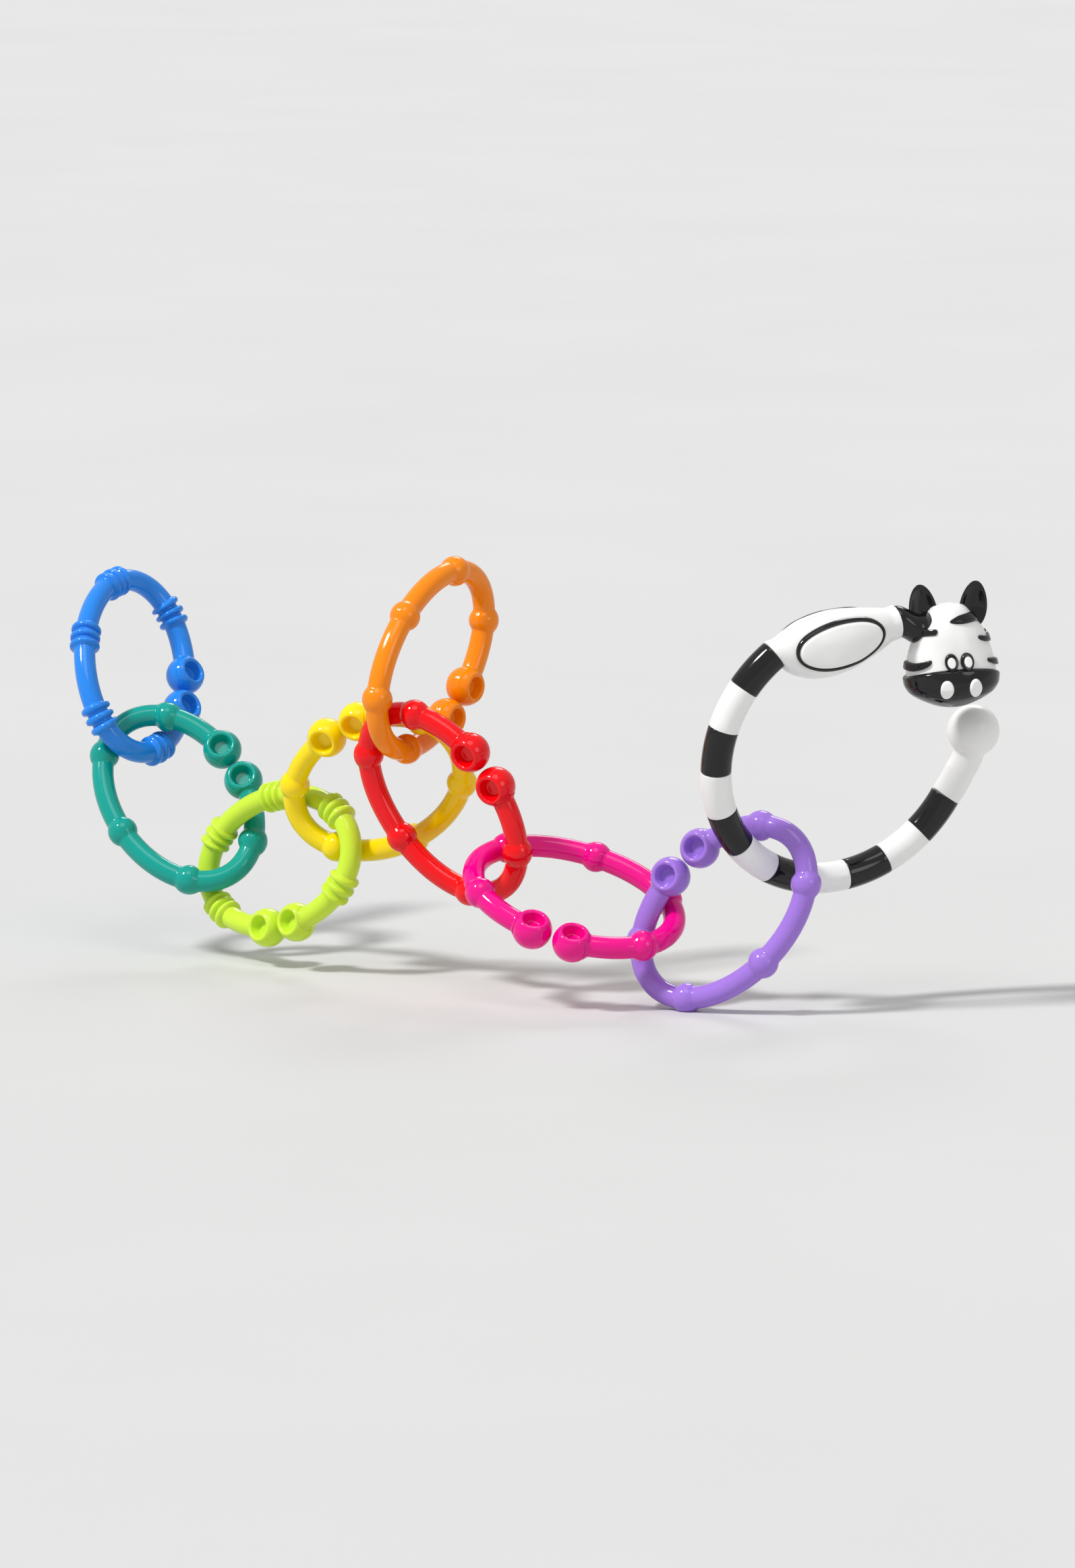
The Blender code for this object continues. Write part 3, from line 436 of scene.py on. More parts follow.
def gloss_plastic(name, colour, roughness=0.1, gloss=0.35, glow=0.0, part_plane=None):
    """Moulded gloss plastic: cloudy tone, a faint pebble in the skin, hairline scuffs and a part line."""
    material = bpy.data.materials.new(name)
    finish = Finish(material)
    tone = linear(COLOURS[colour])
    place = finish.node("ShaderNodeTexCoord", output=3)
    cloud = finish.noise(place, CLOUD_SCALE, 3, 0.55)
    grain = finish.noise(place, GRAIN_SCALE, 4, 0.6)
    pebble = finish.noise(place, PEBBLE_SCALE, 2)
    stretch = {"Vector": place, "Rotation": SCUFF_TURN, "Scale": SCUFF_STRETCH}
    hair = finish.noise(finish.node("ShaderNodeMapping", {}, stretch), 1, 2, 0.4)
    hairlines = ((hair - SCUFF_START) * SCUFF_SHARPNESS).clamped()
    scuff = hairlines * ((grain - 0.5) * SCUFF_PATCH_SHARPNESS).clamped()
    varied = ((cloud - 0.5) * CLOUD_CONTRAST + 0.5).clamped()
    body = finish.blend(varied, shaded(tone, CLOUD_TONE), tone)
    skin = finish.blend(scuff * SCUFF_SHOW, body, shaded(tone, SCUFF_TONE))
    height = pebble * PEBBLE_HEIGHT + cloud * CLOUD_HEIGHT - scuff * SCUFF_HEIGHT
    if part_plane:
        point, normal = part_plane
        level = finish.node("ShaderNodeVectorMath", {"operation": "DOT_PRODUCT"}, {0: place, 1: normal}, 1)
        line = (1 - (level - point.dot(normal)).size() / PART_LINE_WIDTH).clamped()
        height = height + line * PART_LINE_HEIGHT
    relief = {"Strength": SKIN_STRENGTH, "Distance": SKIN_DEPTH, "Height": height}
    bump = finish.node("ShaderNodeBump", {}, relief)
    uneven = (cloud - 0.5) * CLOUD_POLISH + (grain - 0.5) * GRAIN_POLISH
    polish = uneven + scuff * SCUFF_POLISH + roughness
    shader = finish.node(
        "ShaderNodeBsdfPrincipled",
        {},
        {
            "Base Color": skin,
            "Roughness": polish,
            "Normal": bump,
            "IOR": PLASTIC_IOR,
            "Specular IOR Level": gloss,
            "Subsurface Weight": glow,
            "Subsurface Radius": (1.0, 1.0, 1.0),
            "Subsurface Scale": GLOW_DEPTH,
        },
    )
    finish.node("ShaderNodeOutputMaterial", {}, {"Surface": shader})
    return material


def floor_finish():
    """A matt pale floor with a faint cloudy tone."""
    material = bpy.data.materials.new("pale_floor")
    finish = Finish(material)
    place = finish.node("ShaderNodeTexCoord", output=3)
    tone = finish.blend(finish.noise(place, FLOOR_CLOUD_SCALE, 3), *FLOOR_TONES)
    values = {"Base Color": tone, "Roughness": FLOOR_ROUGHNESS}
    shader = finish.node("ShaderNodeBsdfPrincipled", {}, values)
    finish.node("ShaderNodeOutputMaterial", {}, {"Surface": shader})
    return material


def smooth_max(first, second, fillet):
    """The larger of two profiles, with a fillet where they cross."""
    overlap = np.maximum(fillet - np.abs(first - second), 0) / fillet
    return np.maximum(first, second) + overlap * overlap * fillet / 4


def smooth_table(rows, place):
    """Values between a table's rows, on a curve that passes through them without overshoot."""
    table = np.array(sorted(rows), dtype=float)
    spots, values = table[:, 0], table[:, 1:]
    steps = np.diff(spots)[:, None]
    slopes = np.diff(values, axis=0) / steps
    tangents = np.zeros_like(values)
    tangents[0], tangents[-1] = slopes[0], slopes[-1]
    same = slopes[:-1] * slopes[1:] > 0
    middle = 2 * slopes[:-1] * slopes[1:] / np.where(same, slopes[:-1] + slopes[1:], 1)
    tangents[1:-1] = np.where(same, middle, 0)
    index = int(np.clip(np.searchsorted(spots, place) - 1, 0, len(steps) - 1))
    share = float(np.clip((place - spots[index]) / steps[index, 0], 0, 1))
    rise = values[index + 1] - values[index]
    start, stop = tangents[index] * steps[index], tangents[index + 1] * steps[index]
    bend = 3 * rise - 2 * start - stop
    curl = start + stop - 2 * rise
    return values[index] + start * share + bend * share**2 + curl * share**3


def grid(points, wrap_columns=True, caps=False):
    """Points and faces over rows of points, closed round each row unless told otherwise."""
    points = np.asarray(points, dtype=float)
    rows, columns = points.shape[:2]
    index = np.arange(rows * columns).reshape(rows, columns)
    ends = [index[0].tolist(), index[-1].tolist()] if caps else []
    if wrap_columns:
        index = np.hstack([index, index[:, :1]])
    quads = np.stack([index[:-1, :-1], index[:-1, 1:], index[1:, 1:], index[1:, :-1]], axis=-1)
    return points.reshape(-1, 3), quads.reshape(-1, 4).tolist() + ends


def moulding_mesh(name, shells):
    """One smooth mesh from several skins of (points, faces)."""
    built = bmesh.new()
    for points, faces in shells:
        verts = [built.verts.new(point) for point in points]
        for face in faces:
            built.faces.new([verts[corner] for corner in face])
    bmesh.ops.remove_doubles(built, verts=built.verts, dist=MERGE_REACH)
    bmesh.ops.dissolve_degenerate(built, edges=built.edges, dist=MERGE_REACH)
    bmesh.ops.recalc_face_normals(built, faces=built.faces)
    mesh = bpy.data.meshes.new(name)
    built.to_mesh(mesh)
    built.free()
    mesh.shade_smooth()
    return mesh


def tube(stations, sides, caps=True):
    """Skin of a round tube along stations of (point, across, up, radius)."""
    turns = np.arange(sides) * 2 * math.pi / sides
    circle = np.stack([np.cos(turns), np.sin(turns)], axis=1)
    rows = []
    for point, across, up, radius in stations:
        axes = np.array([across, up])
        rows.append(np.array(point) + radius * circle @ axes)
    return grid(rows, caps=caps)


def turned(profile, centre, sides):
    """Skin of a profile of (radius, height) turned about the local Z through a centre."""
    turns = np.arange(sides) * 2 * math.pi / sides
    rows = []
    for radius, height in profile:
        ring = np.stack([radius * np.cos(turns), radius * np.sin(turns), np.full(sides, height)], axis=1)
        rows.append(ring + np.array(centre))
    return grid(rows)


def oval_frame(half_length, half_width, angle):
    """Point, forward, inward and normal directions on an oval's centreline."""
    turn = math.radians(angle)
    point = Vector((half_length * math.cos(turn), half_width * math.sin(turn), 0))
    forward = Vector((-half_length * math.sin(turn), half_width * math.cos(turn), 0)).normalized()
    up = Vector((0, 0, 1))
    return point, forward, up.cross(forward), up


def ring_frame(ring, angle):
    """Frame on a link's centreline or the striped ring's."""
    if ring == "ring":
        return oval_frame(RING_RADIUS, RING_RADIUS, angle)
    return oval_frame(LINK_LENGTH / 2, LINK_WIDTH / 2, angle)


def tube_radius(ring):
    """Half the thickness of a link's tube or the striped ring's."""
    return RING_TUBE_RADIUS if ring == "ring" else TUBE_RADIUS


def columns_matrix(first, second, third):
    """A matrix from its three columns."""
    return Matrix((first, second, third)).transposed()


def hang(carrier_frame, carrier, hanging, contact):
    """World matrix of a ring that touches the carrier ring at a contact."""
    place, own_place, lean, own_lean, crossing, lift_share = contact
    turn = carrier_frame.to_3x3()
    point, forward, inward, up = ring_frame(carrier, place)
    lean, own_lean, crossing = (math.radians(angle) for angle in (lean, own_lean, crossing))
    away = turn @ (inward * math.cos(lean) + up * math.sin(lean))
    along = turn @ forward
    own_along = along * math.cos(crossing) + away.cross(along) * math.sin(crossing)
    side = own_along.cross(-away)
    own_inward = -away * math.cos(own_lean) - side * math.sin(own_lean)
    own_up = -away * math.sin(own_lean) + side * math.cos(own_lean)
    own_point, own_forward, local_inward, local_up = ring_frame(hanging, own_place)
    world_axes = columns_matrix(own_along, own_inward, own_up)
    own_turn = world_axes @ columns_matrix(own_forward, local_inward, local_up).transposed()
    reach = tube_radius(carrier) + tube_radius(hanging) + LINK_CLEARANCE + lift_share * BUMP_RISE
    centre = carrier_frame @ point + away * reach - own_turn @ own_point
    return Matrix.Translation(centre) @ own_turn.to_4x4()


def ring_matrices():
    """World matrix of every ring, from the orange link outwards."""
    turn = Euler([math.radians(angle) for angle in ORANGE_TURN], "XYZ").to_matrix()
    top_angle = math.degrees(math.atan2(LINK_WIDTH * turn[2][1], LINK_LENGTH * turn[2][0]))
    top = turn @ ring_frame("orange", top_angle)[0]
    matrices = {"orange": Matrix.Translation(Vector((0, 0, TUBE_RADIUS)) - top) @ turn.to_4x4()}
    for hanging, (carrier, *contact) in CONTACTS.items():
        matrices[hanging] = hang(matrices[carrier], carrier, hanging, contact)
    return matrices


def head_matrix():
    """The head's frame in the ring's: X out of the face, Y to the viewer's right, Z up the head."""
    turn = Euler([math.radians(angle) for angle in HEAD_TURN], "XYZ").to_matrix()
    centre = ring_frame("ring", -TORSO_ANGLE)[0] + Vector((HEAD_ASIDE, HEAD_BELOW, HEAD_FORWARD))
    return Matrix.Translation(centre) @ turn.to_4x4()


def ball_profile(apart):
    """Radius of a ball moulded on the tube, at distances from its middle."""
    return np.sqrt(np.maximum(BALL_RADIUS**2 - apart**2, 0))


def ridge_profile(apart):
    """Radius of three thin ridges side by side."""
    radius = np.zeros_like(apart)
    rise = RIDGE_RADIUS - TUBE_RADIUS
    for ridge in (-1, 0, 1):
        share = np.clip(np.abs(apart - ridge * RIDGE_PITCH) / (RIDGE_THICKNESS / 2), 0, 1)
        bow = (1 - share**RIDGE_FLATNESS) ** (1 / RIDGE_FULLNESS)
        radius = np.maximum(radius, np.where(share < 1, TUBE_RADIUS + rise * bow, 0))
    return radius


def dimpled_ball(centre):
    """A ball with a round dimple in each face, its wall sloping to a flat floor."""
    rim_reach = DIMPLE_RADIUS + DIMPLE_RIM
    rim_height = math.sqrt((END_BALL_RADIUS - DIMPLE_RIM) ** 2 - rim_reach**2)
    floor = rim_height + DIMPLE_RIM - DIMPLE_DEPTH
    lip = math.asin(rim_reach / (END_BALL_RADIUS - DIMPLE_RIM))
    half = [(0, floor), (DIMPLE_FLOOR_RADIUS * DIMPLE_FLAT_SHARE, floor)]
    for share in np.linspace(0, 1, DIMPLE_CORNER_RINGS):
        turn = -math.pi / 2 + share * math.pi * DIMPLE_CORNER_TURN_SHARE
        reach = DIMPLE_FLOOR_RADIUS - DIMPLE_CORNER + DIMPLE_CORNER * math.cos(turn)
        half.append((reach, floor + DIMPLE_CORNER + DIMPLE_CORNER * math.sin(turn)))
    half.append((DIMPLE_RADIUS - DIMPLE_WALL_INSET, rim_height - DIMPLE_WALL_DROP))
    for share in np.linspace(0, 1, DIMPLE_RIM_RINGS):
        turn = math.pi - share * (math.pi / 2 + lip)
        half.append((rim_reach + DIMPLE_RIM * math.cos(turn), rim_height + DIMPLE_RIM * math.sin(turn)))
    for share in np.linspace(0.1, 0.9, END_BALL_RINGS):
        turn = lip + share * (math.pi / 2 - lip)
        half.append((END_BALL_RADIUS * math.sin(turn), END_BALL_RADIUS * math.cos(turn)))
    profile = half + [(END_BALL_RADIUS, 0)] + [(radius, -height) for radius, height in reversed(half)]
    return turned(profile, centre, END_BALL_SIDES)


def link_mesh(name, bump):
    """A fine link: tube, filleted bumps and two dimpled end balls."""
    end_angle = math.degrees(math.acos((END_BALL_RADIUS + END_GAP / 2) / (LINK_LENGTH / 2)))
    angles = np.linspace(-end_angle, 180 + end_angle, LINK_LINE_POINTS)
    turns = np.radians(angles)
    line = np.stack([LINK_LENGTH / 2 * np.cos(turns), LINK_WIDTH / 2 * np.sin(turns)], axis=1)
    lengths = np.concatenate([[0], np.cumsum(np.linalg.norm(np.diff(line, axis=0), axis=1))])
    spots = np.arange(TUBE_END_INSET, lengths[-1] - TUBE_END_INSET, LINK_STEP)
    middles = np.interp(BUMP_ANGLES, angles, lengths)
    near = np.min(np.abs(spots[:, None] - middles[None]), axis=1) < LINK_FINE_REACH
    near |= np.minimum(spots, lengths[-1] - spots) < LINK_FINE_END_REACH
    spots = spots[near | (np.arange(len(spots)) % LINK_PLAIN_STEPS == 0)]
    radii = np.full(len(spots), TUBE_RADIUS)
    fillet = RIDGE_FILLET if bump is ridge_profile else BALL_FILLET
    for middle in middles:
        radii = np.maximum(radii, smooth_max(TUBE_RADIUS, bump(spots - middle), fillet))
    from_end = np.minimum(spots, lengths[-1] - spots)
    ball = np.sqrt(np.maximum(END_BALL_RADIUS**2 - from_end**2, 0))
    inside = np.sqrt(np.maximum((END_BALL_RADIUS - TUBE_TUCK) ** 2 - from_end**2, 0))
    flared = smooth_max(TUBE_RADIUS, ball, END_FILLET)
    flared = np.where(from_end < TUBE_TUCK_REACH, inside, flared)
    radii = np.where(from_end < END_FLARE_REACH, flared, radii)
    stations = []
    for spot, radius in zip(spots, radii):
        point, _, across, up = ring_frame("link", float(np.interp(spot, lengths, angles)))
        stations.append((point, across, up, radius))
    ends = [dimpled_ball(ring_frame("link", angle)[0]) for angle in (-end_angle, 180 + end_angle)]
    return moulding_mesh(name, [tube(stations, LINK_SIDES), *ends])


def rounded_stretch(start, stop, step):
    """Angles and radii of a sleeve round the ring with rounded edges and flat ends."""
    turn = math.degrees(BAND_ROUND / RING_RADIUS)
    edge = []
    for share in ROUND_EDGE_SHARES:
        bow = math.pi / 2 * share
        edge.append((turn * (1 - math.cos(bow)), RING_TUBE_RADIUS - BAND_ROUND * (1 - math.sin(bow))))
    rows = [(start, BAND_SEAT_RADIUS), *((start + inwards, radius) for inwards, radius in edge)]
    count = max(math.ceil((stop - start) / step), 2)
    for place in np.linspace(start + turn, stop - turn, count + 1)[1:-1]:
        rows.append((float(place), RING_TUBE_RADIUS))
    rows += [(stop - inwards, radius) for inwards, radius in reversed(edge)]
    return [*rows, (stop, BAND_SEAT_RADIUS)]


def ring_stations(rows):
    """Stations round the ring from angles and radii."""
    stations = []
    for angle, radius in rows:
        point, _, across, up = ring_frame("ring", angle)
        stations.append((point, across, up, radius))
    return stations


def ring_end_frame(angle):
    """Frame along the ring's free end, which leaves the circle outwards."""
    point, forward, inward, up = ring_frame("ring", angle)
    start = (2 * BAND_COUNT - 1) * BAND_STEP
    share = (angle - start) / (RING_END_ANGLE - start)
    slope = RING_END_ASIDE / (RING_RADIUS * math.radians(RING_END_ANGLE - start))
    forward = (forward - inward * slope).normalized()
    return point - inward * (RING_END_ASIDE * share), forward, up.cross(forward), up


def striped_ring_mesh():
    """The white core: seats under the black bands, white bands between them and the end ball."""
    rows = []
    for share in RING_TAIL_SHARES:
        point, _, across, up = torso_spine(share)
        rows.append((point, across, up, BAND_SEAT_RADIUS))
    rows += ring_stations([(0, BAND_SEAT_RADIUS)])
    for band in range(1, 2 * BAND_COUNT - 1, 2):
        rows += ring_stations(rounded_stretch(band * BAND_STEP, (band + 1) * BAND_STEP, RING_STEP))
    start = (2 * BAND_COUNT - 1) * BAND_STEP
    ball_turn = math.degrees(RING_END_RADIUS / RING_RADIUS)
    for angle, radius in rounded_stretch(start, RING_END_ANGLE, RING_STEP):
        if angle < RING_END_ANGLE - RING_FLARE_START_SHARE * ball_turn:
            point, _, across, up = ring_end_frame(angle)
            rows.append((point, across, up, radius))
    middle, forward, across, up = ring_end_frame(RING_END_ANGLE)
    for offset in np.linspace(-RING_FLARE_START_SHARE, -RING_FLARE_STOP_SHARE, RING_FLARE_RINGS):
        point, _, own_across, _ = ring_end_frame(RING_END_ANGLE + offset * ball_turn)
        apart = offset * RING_END_RADIUS
        ball = math.sqrt(max(RING_END_RADIUS**2 - apart**2, 0))
        radius = float(smooth_max(RING_TUBE_RADIUS, ball, RING_END_FILLET))
        share = min((offset + RING_FLARE_START_SHARE) / RING_BALL_START_SHARE, 1)
        centre = point.lerp(middle + forward * apart, share)
        rows.append((centre, own_across.lerp(across, share).normalized(), up, radius))
    for turn in np.linspace(math.acos(RING_BALL_START_SHARE), math.pi, RING_BALL_RINGS):
        point = middle - forward * (RING_END_RADIUS * math.cos(turn))
        rows.append((point, across, up, RING_END_RADIUS * math.sin(turn)))
    return moulding_mesh("striped_ring_moulding", [tube(rows, RING_SIDES)])


def band_mesh(band):
    """A gloss black sleeve, flush with the white bands and rounded at both edges."""
    gap = math.degrees(BAND_GAP / RING_RADIUS)
    start, stop = 2 * band * BAND_STEP + gap, (2 * band + 1) * BAND_STEP - gap
    stations = ring_stations(rounded_stretch(start, stop, BAND_STATION_STEP))
    return moulding_mesh(f"black_band_{band + 1}_moulding", [tube(stations, RING_SIDES, caps=False)])


def bezier(points, share):
    """Point and forward direction on a cubic curve."""
    start, first, second, end = points
    rest = 1 - share
    point = start * rest**3 + first * 3 * rest**2 * share + second * 3 * rest * share**2 + end * share**3
    forward = (first - start) * rest**2 + (second - first) * 2 * rest * share + (end - second) * share**2
    return point, forward.normalized()


def torso_spine(share):
    """Frame along the body's middle line, which leaves the ring's circle and runs straight to the neck."""
    start, forward, _, up = ring_frame("ring", 0)
    end = ring_frame("ring", -TORSO_ANGLE)[0]
    chord = end - start
    bend = chord.length * TORSO_BEND_SHARE
    point, ahead = bezier((start, start - forward * bend, end - chord.normalized() * bend, end), share)
    outward = up.cross(ahead)
    rows = [(0, 0), *((row[0], row[5]) for row in TORSO_SHARES), (1, 0)]
    inset = TORSO_WIDTH * float(smooth_table(rows, share)[0])
    return point - outward * inset, ahead, outward, up


def torso_section(share):
    """Width, depth, squareness and taper of the body's outside at a share of its length."""
    tail = 2 * RING_TUBE_RADIUS
    sleeve = 2 * SLEEVE_RADIUS
    rows = [(0, tail / TORSO_WIDTH, tail / TORSO_DEPTH, 2, 0), *(row[:5] for row in TORSO_SHARES)]
    for place in (SLEEVE_START_SHARE, 1):
        rows.append((place, sleeve / TORSO_WIDTH, sleeve / TORSO_DEPTH, 2, 0))
    width, depth, squareness, taper = smooth_table(rows, share)
    return TORSO_WIDTH * width, TORSO_DEPTH * depth, squareness, taper


def section_point(share, turn, lift):
    """A point over the body's surface; turn 0 faces the ring's inside, a quarter turn its front."""
    width, depth, squareness, taper = torso_section(share)
    point, _, across, up = torso_spine(share)
    cosine, sine = math.cos(turn), math.sin(turn)
    aside = math.copysign(abs(cosine) ** (2 / squareness), cosine)
    above = math.copysign(abs(sine) ** (2 / squareness), sine) * (1 - taper * aside)
    return point + across * ((width / 2 + lift) * aside) + up * ((depth / 2 + lift) * above)


def seam_columns(steps, radius):
    """Turns and depths across half a shell, rounded and folded in at both seams."""
    round_turn = SEAM_ROUND / radius
    turn_share, lift_share = SEAM_CORNER_SHARES
    edge = [(0, -SEAM_DEPTH), (0, -SEAM_ROUND), (round_turn * turn_share, -SEAM_ROUND * lift_share)]
    columns = list(edge)
    for step in range(steps + 1):
        turn = round_turn + (math.pi - 2 * round_turn) * step / steps
        columns.append((turn, 0))
    columns += [(math.pi - turn, lift) for turn, lift in reversed(edge)]
    return columns


def torso_shell_mesh(prefix, side):
    """Half of the body's shell with a fine seam and the sleeve's open end."""
    lip = TORSO_LIP / RING_RADIUS
    corner, corner_lift = lip * TORSO_LIP_SHARE, -TORSO_LIP * TORSO_LIP_SHARE
    bore_lift = NECK_RADIUS - SLEEVE_RADIUS
    shares = [(0, -TORSO_WALL), (0, -TORSO_LIP), (corner, corner_lift)]
    shares += [(float(share), 0) for share in np.linspace(lip, 1 - lip, TORSO_RINGS)]
    shares += [(1 - corner, corner_lift), (1, -TORSO_LIP), (1, bore_lift), (SLEEVE_MOUTH_SHARE, bore_lift)]
    rows = []
    for share, share_lift in shares:
        row = []
        for turn, lift in seam_columns(TORSO_COLUMNS, TORSO_DEPTH / 2):
            point = section_point(share, side * turn, min(lift, share_lift))
            row.append(point + Vector((0, 0, side * SEAM / 2)))
        rows.append(row)
    return moulding_mesh(f"torso_{prefix}_shell_moulding", [grid(rows, wrap_columns=False)])


def badge_point(aside, along, side, lift):
    """A point at a height over the body's front or back, from a place on the badge."""
    share = BADGE_PLACE_SHARE + along / RING_RADIUS
    width, depth, squareness, taper = torso_section(share)
    point, _, across, up = torso_spine(share)
    aside += BADGE_ASIDE_SHARE * TORSO_WIDTH / 2
    edge = min(abs(aside) / (width / 2 + lift), 1)
    bow = (1 - edge**squareness) ** (1 / squareness)
    height = bow * (depth / 2 + lift) * (1 - taper * 2 * aside / width)
    return point + across * aside + up * (side * (height + SEAM / 2))


def oval_rows(place, rings, steps):
    """Skin over an oval's rings, each a half length, a half width and a height over the surface."""
    rows = []
    for half_length, half_width, lift in rings:
        row = []
        for step in range(steps):
            turn = 2 * math.pi * step / steps
            row.append(place(half_length * math.cos(turn), half_width * math.sin(turn), lift))
        rows.append(row)
    return grid(rows)


def pad_rings(half_length, half_width, rise, edge, base=-SEAT_DEPTH):
    """Rings of a low pad whose rounded edge has the same width all round."""
    flat_length, flat_width = half_length - edge, half_width - edge
    rings = [(flat_length * share, flat_width * share, rise) for share in PAD_SHARES]
    for share in np.linspace(0, 1, PAD_EDGE_RINGS):
        bow = math.pi / 2 * share
        reach = edge * math.sin(bow)
        lift = base + (rise - base) * max(math.cos(bow), 0) ** PAD_EDGE_FULLNESS
        rings.append((flat_length + reach, flat_width + reach, lift))
    return rings


def bead_rings(half_length, half_width, width, rise):
    """Rings of a thin bead of even width along the edge of an oval."""
    rings = [(half_length - width, half_width - width, -SEAT_DEPTH)]
    for share in np.linspace(0, 1, BEAD_RINGS):
        bow = math.pi * share
        inset = width * (1 + math.cos(bow)) / 2
        lift = rise * (BEAD_SHOULDER_SHARE + BEAD_CROWN_SHARE * math.sin(bow))
        rings.append((half_length - inset, half_width - inset, lift))
    return [*rings, (half_length, half_width, -SEAT_DEPTH)]


def badge_meshes(prefix, side):
    """The bare oval and the even line round it."""
    half_length, half_width = BADGE_LENGTH / 2, BADGE_WIDTH / 2

    def place(along, aside, lift):
        return badge_point(aside, along, side, lift)

    inset = BADGE_LINE + BADGE_GAP
    pad = pad_rings(half_length - inset, half_width - inset, BADGE_RISE, BADGE_EDGE)
    bead = bead_rings(half_length, half_width, BADGE_LINE, BADGE_LINE_RISE)
    face = oval_rows(place, pad, BADGE_SIDES)
    line = oval_rows(place, bead, BADGE_SIDES)
    return (
        moulding_mesh(f"{prefix}_badge_moulding", [face]),
        moulding_mesh(f"{prefix}_badge_line_moulding", [line]),
    )


def head_point(height_share, turn, lift):
    """A point on the head's surface, or at a height over it."""
    width, depth, ahead = smooth_table(HEAD_SHARES, height_share)
    return Vector(
        (
            (HEAD_DEPTH / 2 + lift) * (depth * math.cos(turn) + ahead),
            (HEAD_WIDTH / 2 + lift) * width * math.sin(turn),
            (HEAD_HEIGHT / 2 + lift) * height_share,
        )
    )


def head_levels(count):
    """Heights down the head, closer together at its crown and chin."""
    return [math.cos(math.pi * step / count) for step in range(count + 1)]


def head_shell_mesh(name, side):
    """Front or back half of the head, parted by a fine seam."""
    rows = []
    for level in head_levels(HEAD_RINGS):
        row = []
        for turn, lift in seam_columns(HEAD_COLUMNS, HEAD_WIDTH / 2):
            point = head_point(level, turn - math.pi / 2 + (math.pi if side > 0 else 0), lift)
            row.append(point + Vector((-side * SEAM / 2, 0, 0)))
        rows.append(row)
    return moulding_mesh(name + "_moulding", [grid(rows, wrap_columns=False)])


def muzzle_mesh():
    """The dark cup over the lower face with a rounded top edge, and the two eye rims on it."""
    edge = [(0.0, -SEAT_DEPTH)]
    for share in np.linspace(0, 1, MUZZLE_EDGE_RINGS):
        bow = math.pi / 2 * share
        lift = MUZZLE_RISE * math.sin(bow) ** PAD_EDGE_FULLNESS if share else 0
        edge.append((MUZZLE_EDGE_SHARE * (1 - math.cos(bow)), lift))
    side_drops = np.linspace(MUZZLE_SIDE_START_SHARE, 1, MUZZLE_RINGS)
    rows = []
    for drop, lift in edge + [(drop, MUZZLE_RISE) for drop in side_drops]:
        row = []
        for step in range(MUZZLE_COLUMNS):
            turn = 2 * math.pi * step / MUZZLE_COLUMNS
            front = max(math.cos(turn), 0) ** MUZZLE_FRONT_NARROWNESS
            top = MUZZLE_SIDE_SHARE + MUZZLE_FRONT_RISE_SHARE * front
            level = top - drop * (top + 1) if drop > MUZZLE_EDGE_STOP_SHARE else top - drop
            row.append(head_point(max(level, -1), turn, lift))
        rows.append(row)
    shells = [grid(rows)]
    for side in (-1, 1):
        rim = pad_rings(EYE_HEIGHT / 2, EYE_WIDTH / 2, EYE_RIM_RISE, EYE_EDGE)
        shells.append(face_oval(side * EYE_SPREAD, EYE_PLACE_SHARE, rim))
    return moulding_mesh("muzzle_moulding", shells)


def face_oval(aside, height_share, rings):
    """An oval pad on the face."""

    def place(upward, sideways, lift):
        share = height_share + 2 * upward / HEAD_HEIGHT
        half_width = head_point(share, math.pi / 2, 0)[1]
        turn = math.asin((aside + sideways) / half_width)
        return head_point(share, turn, lift)

    return oval_rows(place, rings, FACE_OVAL_SIDES)


def stripe_mesh(name):
    """A raised stripe laid round the head, rounded across and at its ends."""
    path = STRIPE_PATHS[name]
    spots = [(place / (len(path) - 1), *row) for place, row in enumerate(path)]
    rows = []
    for step in range(STRIPE_ROWS + 1):
        share = step / STRIPE_ROWS
        level, angle, half = smooth_table(spots, share)
        from_end = min(share, 1 - share) * STRIPE_TAPER
        closing = math.sqrt(max(1 - (1 - min(from_end, 1)) ** 2, 0))
        row = []
        for place in np.linspace(-1, 1, STRIPE_COLUMNS):
            bow = (1 - abs(place) ** STRIPE_FLATNESS) ** 0.5
            lift = -SEAT_DEPTH + (STRIPE_RISE + SEAT_DEPTH) * bow * closing**0.5
            row.append(head_point(level + half * place * closing, math.radians(angle), lift))
        rows.append(row)
    return moulding_mesh(name + "_moulding", [grid(rows, wrap_columns=False)])


